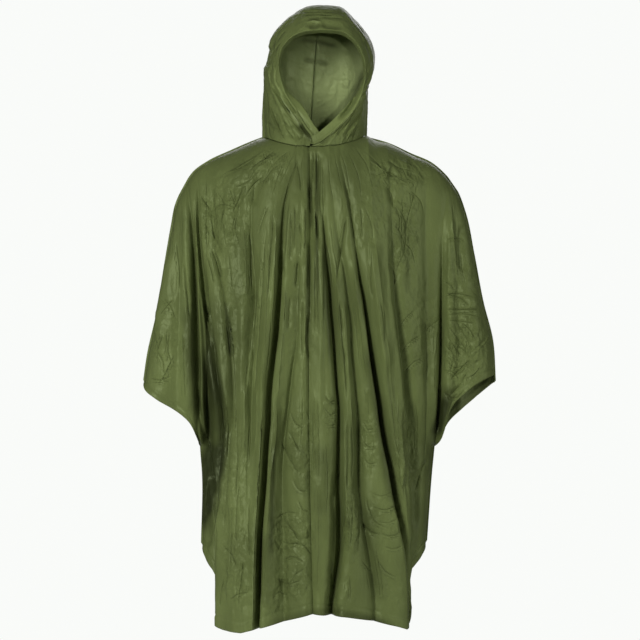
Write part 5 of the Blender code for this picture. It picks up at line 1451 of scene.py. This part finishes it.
# Strokes of the hood in view coordinates: on its outside, and inside on the back of it.
HOOD_STROKES = {
    "crease": (
        ((272, 84), (278, 94), (284, 104), (290, 113), (297, 122), (305, 131), (312, 138)),
        ((366, 96), (363, 107), (358, 116), (352.5, 125), (347, 133), (342, 141)),
        ((270, 104), (274, 114), (280, 128), (286, 141)), ((283, 121), (288, 130), (294, 139)),
        ((355, 108), (348, 119), (340, 128), (331, 137)),
        ((361, 101), (352, 116), (344, 127), (336, 138)),
        ((268, 122), (270, 134), (274, 142)), ((281, 92), (287, 100), (294, 110), (303, 121))),
    "fine": (
        ((300, 15), (316, 14.4), (334, 15)), ((308, 17.6), (326, 17.4), (345, 18)),
        ((300, 12), (318, 11.6), (336, 12)), ((266, 62), (268, 54), (273, 44)),
        ((270, 58), (275, 50), (281, 42)), ((350, 16), (359, 27), (366, 38)),
        ((364, 40), (369, 50), (371, 62)), ((366, 66), (368, 76), (366, 88)),
        ((361, 90), (366, 86), (371, 84)), ((361, 96), (366, 92), (370, 88)),
        ((266, 88), (268, 100), (268, 116)), ((276, 112), (278, 122), (281, 132)),
        ((352, 134), (348, 140), (346, 145)), ((358, 126), (355, 134), (352, 142)),
        ((290, 20), (282, 28), (275, 37)), ((286, 30), (280, 37), (276, 45)),
        ((272, 66), (270, 76), (272, 86)), ((276, 70), (276, 80), (280, 88))),
    "soft": (
        ((306, 27), (322, 26), (344, 29)), ((366, 64), (363, 76), (361, 90)),
        ((268, 46), (265, 56), (266, 68)), ((301, 139), (296, 132), (290, 126))),
    "ridge": (
        ((267, 80), (276, 96), (286, 112), (297, 126), (308, 138)),
        ((357, 106), (350, 117), (341, 126), (332, 134)),
        ((268, 100), (272, 117), (278, 130), (287, 143)),
        ((363, 112), (357, 124), (350, 134), (346, 142))),
    "lip": (
        ((306, 22), (314, 20), (322, 22)), ((344, 11), (351, 20), (360, 30), (368, 42), (372, 56)),
        ((292, 15), (284, 24), (274, 35), (268, 46)),
        ((348, 134), (343, 140), (340, 146)), ((345, 12), (353, 24), (362, 35), (367, 47)))}
INNER_STROKES = {
    "crease": (((298, 42), (306, 40.5), (315, 41.5), (322, 43), (331, 45.5), (339, 46)),
               ((303, 59), (313, 61), (320, 62), (329, 65.5))),
    "fine": (((299, 37), (307, 38), (314, 40)), ((317, 101), (323, 101)),
             ((338, 84), (341, 76), (343, 68)), ((334, 92), (337, 84), (340, 76)),
             ((322, 94), (330, 94), (338, 93)), ((320, 72), (322, 78), (321, 86)),
             ((330, 78), (329, 84), (326, 90)), ((300, 78), (304, 84), (304, 92)),
             ((300, 98), (303, 104), (306, 112)), ((326, 108), (328, 118), (326, 126)),
             ((320, 54), (328, 55), (335, 54)), ((298, 66), (304, 68), (309, 66))),
    "soft": (((290, 46), (288, 62), (291, 82)), ((346, 50), (347, 66), (344, 88)))}
BACK_HOOD_STROKES = {
    "crease": (((290, 60), (296, 90), (300, 128)), ((344, 50), (340, 80), (334, 120)),
               ((276, 90), (280, 110), (286, 134)), ((358, 84), (354, 106), (350, 132))),
    "fine": (((300, 30), (310, 34), (322, 33)), ((326, 28), (338, 32), (348, 40)),
             ((282, 44), (292, 50), (304, 50)), ((330, 64), (340, 68), (352, 66)),
             ((296, 100), (304, 104), (312, 102)), ((322, 110), (330, 116), (338, 114))),
    "ridge": (((284, 60), (288, 94), (294, 130)), ((350, 60), (347, 90), (342, 128)),
              ((306, 70), (307, 100), (308, 132))),
    "soft": (((268, 60), (270, 90), (276, 124)), ((366, 64), (364, 92), (358, 124)))}

HOOD_PATCHES = tuple(Patch(*p) for p in (
    (360, 88, 12, 18, 0.9), (272, 56, 10, 20, 0.9), (318, 15, 30, 8, 0.6), (345, 132, 18, 16, 0.7),
    (280, 118, 18, 26, 0.5), (325, 80, 22, 30, 0.4), (308, 30, 10, 8, 0.8), (347, 80, 8, 24, 0.8)))


def dense_hood(side, front_row, back_row):
    """Points of one half of the hood, with the relief of the film."""
    columns = between(HOOD_STOPS, HOOD_COLUMN_STEPS)
    rows = between(HOOD_ROWS, HOOD_ROW_STEPS)
    points = hood_half(side, front_row, back_row, columns, rows)
    a, h = np.meshgrid(columns, rows)
    ahead = smoothstep(*FRONT_HALF, a)
    px, py = seen(points)
    relief = stroke_relief(HOOD_STROKES, px, py, 40, 0.8) * ahead
    relief -= stroke_relief(INNER_STROKES, px, py, 44, 0.8) * (1 - ahead)
    px, py = seen(points * (1, -1, 1))
    relief += stroke_relief(BACK_HOOD_STROKES, px, py, 48, 0.7) * (1 - ahead)
    layer = 50 if side == "left" else 60
    coarse = crumple(HOOD_CELLS[0] * a, HOOD_CELLS[1] * h, layer)
    finer = crumple(HOOD_GRAIN_CELLS[0] * a, HOOD_GRAIN_CELLS[1] * h, layer + 3)
    relief += HOOD_RISE * coarse + HOOD_GRAIN_RISE * finer
    above_neck = smoothstep(0.0, NECK_CALM, h)
    relief *= above_neck * smoothstep(-0.01, 0.04, a) * smoothstep(1.0, 0.975, a)
    relief += SEAM_RISE * np.exp(-((1 - a) / SEAM_HALF) ** 1.5) * above_neck
    points = moved_out(points, relief * smoothstep(1.0, 0.97, h),
                       (-1 if side == "left" else 1, 0, 0))
    points[..., 2] -= NECK_LAP * smoothstep(NECK_LAP_TO, 0.0, h) * (1 - ahead)
    return points


def between(places, steps):
    """Each gap between neighbouring places cut into equal steps."""
    inner = [low + (high - low) * part / steps
             for low, high in zip(places, places[1:]) for part in range(steps)]
    return np.array(inner + [places[-1]])


def moved_out(points, height, outward):
    """Points of a sheet moved along its own normal, towards the side that outward names."""
    across, down = np.gradient(points, axis=1), np.gradient(points, axis=0)
    normal = np.cross(across, down)
    normal /= np.maximum(np.linalg.norm(normal, axis=-1, keepdims=True), 1e-12)
    middle = normal[normal.shape[0] // 2, normal.shape[1] // 2]
    if middle @ np.asarray(outward, float) < 0:
        normal = -normal
    return points + normal * height[..., None]


# The hem strip's own strokes, in view coordinates.
STRIP_STROKES = {
    "slit": (((364.5, 66), (362, 76), (358, 84), (355, 96), (350, 106), (344, 113), (337, 120)),),
    "fine": (((286, 98), (292, 106), (300, 117)), ((296, 108), (304, 121), (311, 131)))}
STRIP_WIDTH = 0.019      # of the turned strip as shown
STRIP_ROLL = 0.0016      # how far its folded edge bulges forward
ROLL_SHARE = 0.30        # share of its width that the bulge takes
STRIP_COLUMNS = 13       # closer at the folded edge, by this power
STRIP_CROWDING = 1.2


def dense_hood_hem(hood_points):
    """The strip turned in round the face opening, rolled over from the hood's edge."""
    edge = hood_points[:, 0]
    run = np.gradient(edge, axis=0)
    inward = np.cross((0, 1, 0), run)
    inward /= np.linalg.norm(inward, axis=1, keepdims=True)
    back = smoothstep(*HEM_TURNS_BACK, edge[:, 2:3])
    turn = inward * (1 - HEM_BACK_SHARE * back) + np.array([0, 1.0, 0]) * back
    turn /= np.linalg.norm(turn, axis=1, keepdims=True)
    start = edge + inward * SHEET
    shares = np.linspace(0, 1, STRIP_COLUMNS) ** STRIP_CROWDING
    bulge = STRIP_ROLL * np.sin(np.pi * np.clip(shares / ROLL_SHARE, 0, 1))
    strip = np.stack([start + turn * STRIP_WIDTH * share + np.array([0, -1.0, 0]) * out
                      for share, out in zip(shares, bulge)], axis=1)
    strip = strip[HOOD_ROW_STEPS // 2:-(HOOD_ROW_STEPS // 2)]
    px, py = seen(strip)
    relief = stroke_relief(STRIP_STROKES, px, py, 70) * smoothstep(0, 0.2, shares)
    return strip - np.array([0, 1.0, 0]) * relief[..., None]


# ---------------------------------------------------------------- materials
def film(name, outside, inside):
    """Satin vinyl film, outside and inside: two materials."""
    return [film_side(name + "_vinyl_face", outside), film_side(name + "_vinyl_back", inside)]


class Shading:
    """A material's nodes, made by short calls that return the new node's output socket."""

    def __init__(self, material):
        material.use_nodes = True
        self.nodes, self.links = material.node_tree.nodes, material.node_tree.links
        self.place = self.nodes.new("ShaderNodeTexCoord").outputs["Object"]

    def feed(self, socket, value):
        """Gives an input socket a value, or a link from an output socket."""
        if isinstance(value, bpy.types.NodeSocket):
            self.links.new(value, socket)
        else:
            socket.default_value = value

    def link(self, node, **inputs):
        """Feeds a node's inputs by their names, and returns the node."""
        for name, value in inputs.items():
            self.feed(node.inputs[name.replace("_", " ")], value)
        return node

    def math(self, operation, first, second=0.0):
        node = self.nodes.new("ShaderNodeMath")
        node.operation = operation
        for socket, value in zip(node.inputs, (first, second)):
            self.feed(socket, value)
        return node.outputs[0]

    def mapped(self, squeeze, shift=(0, 0, 0)):
        node = self.nodes.new("ShaderNodeMapping")
        return self.link(node, Vector=self.place, Scale=squeeze, Location=shift).outputs[0]

    def noise(self, squeeze, detail):
        node = self.nodes.new("ShaderNodeTexNoise")
        return self.link(node, Vector=self.mapped(squeeze), Scale=1.0, Detail=detail).outputs[0]

    def cells(self, squeeze, shift):
        """Squared distance to the nearest of scattered points."""
        node = self.nodes.new("ShaderNodeTexVoronoi")
        self.link(node, Vector=self.mapped(squeeze, shift), Scale=1.0)
        return self.math("POWER", node.outputs["Distance"], 2.0)

    def facets(self, squeeze):
        """Flat facets that meet in sharp ridges and valleys, about -0.5 to 0.5."""
        return self.math("SUBTRACT", self.cells(squeeze, (0, 0, 0)),
                         self.cells(squeeze, SECOND_CELLS))

    def crumple(self, layers, height):
        """A height, in millimetres, with the facets of some layers added."""
        for layer in layers:
            facets = self.math("MULTIPLY", self.facets(layer.squeeze), layer.rise)
            height = self.math("ADD", facets, height)
        return height

    def attribute(self, name, output):
        node = self.nodes.new("ShaderNodeAttribute")
        node.attribute_name = name
        return node.outputs[output]

    def line(self, channel):
        """Height of one channel of the sharp lines, in millimetres."""
        node = self.nodes.new("ShaderNodeSeparateXYZ")
        self.link(node, Vector=self.attribute("lines_%d" % channel, "Vector"))
        away = self.math("MULTIPLY", self.math("ABSOLUTE", node.outputs["X"]), -1.0)
        return self.math("MULTIPLY", self.math("EXPONENT", away), node.outputs["Y"])

    def bump(self, height, distance, **below):
        node = self.nodes.new("ShaderNodeBump")
        return self.link(node, Height=height, Strength=1.0, Distance=distance,
                         **below).outputs["Normal"]


# Crumple in the material: cells to the metre, and height in millimetres. The patches' is as
# strong as the mesh's crumple attribute says, and the film's is the same all over.
Crumple = namedtuple("Crumple", "squeeze rise")
PATCH_CRUMPLE = (Crumple((60, 60, 46), 3.2), Crumple((130, 130, 100), 1.2))
FILM_CRUMPLE = (Crumple((110, 110, 20), 0.40), Crumple((280, 280, 90), 0.08))
SECOND_CELLS = (7.3, 4.1, 2.6)    # how far the facets' second points lie from the first ones

SPECULAR_LEVEL = 0.15    # low, and tinted, for the film's dull green glints
SPECULAR_TINT = (0.85, 1.0, 0.55, 1)
PAINTED_SHADE_TONE = 0.22      # painted shade: tone of the darkened film, against its own tone
CLOUD_CELLS = (11, 11, 6.6)       # soft clouds of tone and gloss, in cells to the metre
CLOUD_FROM, CLOUD_TO = 0.32, 0.70     # values of the clouds at their two tones
CLOUD_TONES = (0.82, 1.18)
GLOSS = (0.34, 0.48)     # roughness
GRAIN_CELLS = (260, 260, 260)     # the finest grain, in cells to the metre
GRAIN_HEIGHT = 0.00008


def film_side(name, colour):
    """The material of one side of a sheet. It reads the attributes that mark writes."""
    material = bpy.data.materials.new(name)
    shading = Shading(material)
    shader = shading.nodes["Principled BSDF"]
    shader.inputs["Metallic"].default_value = 0.0
    shader.inputs["IOR"].default_value = 1.50
    shader.inputs["Specular IOR Level"].default_value = SPECULAR_LEVEL
    shader.inputs["Specular Tint"].default_value = SPECULAR_TINT

    cloud = shading.noise(CLOUD_CELLS, 6.0)
    tint = shading.nodes.new("ShaderNodeValToRGB")
    for element, place, tone in zip(tint.color_ramp.elements, (CLOUD_FROM, CLOUD_TO),
                                    CLOUD_TONES):
        element.position = place
        element.color = (*[tone * c for c in colour], 1)
    shading.links.new(cloud, tint.inputs["Fac"])
    # Painted shade: the base colour is mixed towards a dark tone as far as the mesh's painted-shade
    # attribute says.
    painted_shade = shading.nodes.new("ShaderNodeMix")
    painted_shade.data_type = "RGBA"
    shading.links.new(shading.attribute("painted_shade", "Fac"), painted_shade.inputs["Factor"])
    shading.links.new(tint.outputs["Color"], painted_shade.inputs[6])
    painted_shade.inputs[7].default_value = (*[PAINTED_SHADE_TONE * c for c in colour], 1)
    shading.links.new(painted_shade.outputs[2], shader.inputs["Base Color"])

    height = shading.crumple(PATCH_CRUMPLE, 0.0)
    height = shading.math("MULTIPLY", height, shading.attribute("crumple", "Fac"))
    height = shading.crumple(FILM_CRUMPLE, height)
    for channel in range(LINE_CHANNELS):
        height = shading.math("ADD", shading.line(channel), height)
    grain = shading.bump(shading.noise(GRAIN_CELLS, 3.0), GRAIN_HEIGHT)
    shading.links.new(shading.bump(height, MILLIMETRE, Normal=grain), shader.inputs["Normal"])

    gloss = shading.nodes.new("ShaderNodeMapRange")
    gloss.inputs["To Min"].default_value, gloss.inputs["To Max"].default_value = GLOSS
    shading.links.new(cloud, gloss.inputs["Value"])
    shading.links.new(gloss.outputs["Result"], shader.inputs["Roughness"])
    return material


# ---------------------------------------------------------------- sheets
def grid_faces(start, rows, columns, flip):
    """Faces of a grid whose first vertex has the number start, turned over where flip is set."""
    faces = []
    for row in range(rows - 1):
        a = start + row * columns + np.arange(columns - 1)
        across, down, far = a + 1, a + columns, a + columns + 1
        corners = (a, down, far, across) if flip else (a, across, far, down)
        faces.append(np.stack(corners, axis=1))
    return np.concatenate(faces)


MARKS = {"front": (FRONT_STROKES, FRONT_PATCHES, FRONT_PAINTED_SHADE),
         "back": (BACK_STROKES, BACK_PATCHES, BACK_PAINTED_SHADE),
         "hood": (HOOD_STROKES, HOOD_PATCHES, HOOD_PAINTED_SHADE), "strip": (STRIP_STROKES, (), {})}


def mark(mesh, face, points):
    """The film's painted shade, crumple and sharp lines, as the mesh's attributes for its material.
    """
    px, py = seen(points * (1, -1, 1) if face == "back" else points)
    strokes, patches, painted_shade = MARKS[face]
    # Painted shade: how far the film's colour is darkened at each point.
    depth = mesh.attributes.new("painted_shade", "FLOAT", "POINT")
    depth.data.foreach_set("value", np.clip(stroke_relief(painted_shade, px, py, 60), 0, 1))
    strength = mesh.attributes.new("crumple", "FLOAT", "POINT")
    strength.data.foreach_set("value", patch_strength(patches, px, py))
    for channel, values in enumerate(sharp_lines(strokes, px, py, 80)):
        lines = mesh.attributes.new("lines_%d" % channel, "FLOAT_VECTOR", "POINT")
        lines.data.foreach_set("vector", values.ravel())


WELD_REACH = 0.00002     # patches of a sheet are joined where their vertices are this near


def sheet_piece(name, node, face, patches, flips, materials):
    """One sheet over the node that it replaces, with its outer and inner film."""
    points, faces, start = [], [], 0
    for patch, flip in zip(patches, flips):
        rows, columns = patch.shape[:2]
        faces.append(grid_faces(start, rows, columns, flip))
        points.append(patch.reshape(-1, 3))
        start += rows * columns
    mesh = bpy.data.meshes.new(name)
    mesh.from_pydata(np.concatenate(points).tolist(), [], np.concatenate(faces).tolist())
    mesh.update()
    mesh.shade_smooth()
    mark(mesh, face, np.concatenate(points))
    piece = bpy.data.objects.new(name, mesh)
    bpy.context.scene.collection.objects.link(piece)
    weld = piece.modifiers.new("join_patches", "WELD")
    weld.merge_threshold = WELD_REACH
    wall = piece.modifiers.new("wall", "SOLIDIFY")
    wall.thickness = SHEET
    wall.offset = -1
    wall.use_even_offset = False
    wall.material_offset = 1
    for material in materials:
        mesh.materials.append(material)
    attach(piece, "root")
    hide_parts(node)
    return piece


left = dense_panel("front", FRONT_FOLDS, 0, CENTRE + 2, HEM_FRONT, ("left",),
                   BODY_SPLITS, BODY_ROWS)
right = dense_panel("front", FRONT_FOLDS, CENTRE + 1, len(FRONT_FOLDS) + 2, HEM_FRONT,
                    ("right",), BODY_SPLITS, BODY_ROWS)
back = dense_panel("back", BACK_FOLDS, 0, len(BACK_FOLDS) + 2, HEM_BACK, ("left", "right"),
                   BACK_SPLITS, BACK_ROWS)
left_edge = left["body"][0, :-1]
left["body"] = dense_lap(left["body"], right["body"], BODY_SPLITS)

OLIVE = (0.095, 0.119, 0.039)
# The inner faces' colours are lighter than OLIVE, most in the hood: painted light that stands for
# light coming through the thin film.
INSIDE_PAINTED_LIGHT = (0.120, 0.148, 0.054)
HOOD_INSIDE_PAINTED_LIGHT = (0.150, 0.182, 0.074)
front_left = sheet_piece("left_front_film", "front_left", "front",
                         [left["body"], left["left"]], [True, False],
                         film("front_left", OLIVE, INSIDE_PAINTED_LIGHT))
front_right = sheet_piece("right_front_film", "front_right", "front",
                          [right["body"], right["right"]], [True, True],
                          film("front_right", OLIVE, INSIDE_PAINTED_LIGHT))
back_film = sheet_piece("back_film", "back", "back",
                        [back["body"], back["left"], back["right"]], [False, True, False],
                        film("back", OLIVE, INSIDE_PAINTED_LIGHT))

front_row = np.concatenate([left_edge, right["body"][0]])
halves = [dense_hood(side, front_row, back["body"][0]) for side in ("left", "right")]
hood_points = np.concatenate([halves[0], halves[1][-2::-1]])
hood = sheet_piece("hood_film", "hood", "hood", halves, [True, False],
                   film("hood", OLIVE, HOOD_INSIDE_PAINTED_LIGHT))
hood_hem_piece = sheet_piece("hood_hem_film", "hood_hem", "strip", [dense_hood_hem(hood_points)],
                             [False], film("hood_hem", OLIVE, INSIDE_PAINTED_LIGHT))


# ---------------------------------------------------------------- stage, light and camera
SURROUNDINGS = (0.95, 0.965, 0.945, 1)     # tone of the background
FLOOR_TONE = (0.80, 0.81, 0.79, 1)
FLOOR_CORNERS = 96


def stage_floor(height, radius):
    """A round pale floor, out of the photograph's view."""
    mesh = bpy.data.meshes.new("floor")
    corners = [(radius * math.cos(a), radius * math.sin(a), height)
               for a in np.linspace(0, 2 * math.pi, FLOOR_CORNERS + 1)[:-1]]
    mesh.from_pydata(corners, [], [tuple(range(len(corners)))])
    floor = bpy.data.objects.new("floor", mesh)
    bpy.context.scene.collection.objects.link(floor)
    material = bpy.data.materials.new("pale_floor")
    material.use_nodes = True
    shader = material.node_tree.nodes["Principled BSDF"]
    shader.inputs["Base Color"].default_value = FLOOR_TONE
    shader.inputs["Roughness"].default_value = 0.9
    mesh.materials.append(material)


def put_light(lamp, place, aim, power):
    """A light at a place, turned towards its aim."""
    lamp.energy = power
    light = bpy.data.objects.new(lamp.name, lamp)
    light.location = place
    light.rotation_euler = (Vector(aim) - Vector(place)).to_track_quat("-Z", "Y").to_euler()
    bpy.context.scene.collection.objects.link(light)


def soft_light(name, place, aim, size, power):
    """A rectangular soft box."""
    lamp = bpy.data.lights.new(name, "AREA")
    lamp.shape = "RECTANGLE"
    lamp.size, lamp.size_y = size
    put_light(lamp, place, aim, power)


def studio_world(strength):
    """Off-white surroundings, seen at full strength and lighting the garment softly."""
    world = bpy.data.worlds.new("studio")
    bpy.context.scene.world = world
    world.use_nodes = True
    nodes, links = world.node_tree.nodes, world.node_tree.links
    seen_background = nodes["Background"]
    seen_background.inputs["Color"].default_value = SURROUNDINGS
    ambient = nodes.new("ShaderNodeBackground")
    ambient.inputs["Color"].default_value = SURROUNDINGS
    ambient.inputs["Strength"].default_value = strength
    path = nodes.new("ShaderNodeLightPath")
    both = nodes.new("ShaderNodeMixShader")
    links.new(path.outputs["Is Camera Ray"], both.inputs["Fac"])
    links.new(ambient.outputs["Background"], both.inputs[1])
    links.new(seen_background.outputs["Background"], both.inputs[2])
    links.new(both.outputs["Shader"], nodes["World Output"].inputs["Surface"])


def snoot(name, place, aim, angle, power):
    """A narrow soft beam."""
    lamp = bpy.data.lights.new(name, "SPOT")
    lamp.spot_size = angle
    lamp.spot_blend = 1.0
    lamp.shadow_soft_size = 0.08
    put_light(lamp, place, aim, power)


stage_floor(height=-1.5, radius=2.3)
studio_world(strength=0.045)
MIDDLE = (0, 0, -0.35)   # of the garment, at which the lights are aimed. Powers are in watts.
soft_light("key", (-1.7, -3.3, 0.4), MIDDLE, (0.8, 1.1), 124)
soft_light("fill", (3.0, -2.4, 0.1), MIDDLE, (1.4, 2.4), 42)
soft_light("top", (0.0, -0.6, 2.6), MIDDLE, (2.4, 1.6), 4)
soft_light("rear", (0.3, 3.2, 1.4), MIDDLE, (2.6, 2.0), 36)
soft_light("left_edge", (-3.0, -0.7, 0.1), MIDDLE, (0.8, 1.6), 9)
soft_light("right_edge", (3.0, -0.7, 0.1), MIDDLE, (0.8, 1.6), 9)
snoot("hood_light", (0.35, -3.3, -0.25), (0.010, 0.0, 0.118), angle=0.066, power=470)

SENSOR = 36              # millimetres
camera_data = bpy.data.cameras.new("camera")
camera_data.sensor_width = SENSOR
camera_data.lens = -SENSOR / 2 * CAMERA_PLACE[1] / HALF_VIEW
camera = bpy.data.objects.new("camera", camera_data)
camera.location = CAMERA_PLACE
camera.rotation_euler = (math.pi / 2, 0, 0)
bpy.context.scene.collection.objects.link(camera)
bpy.context.scene.camera = camera
bpy.context.scene.view_settings.view_transform = "Standard"
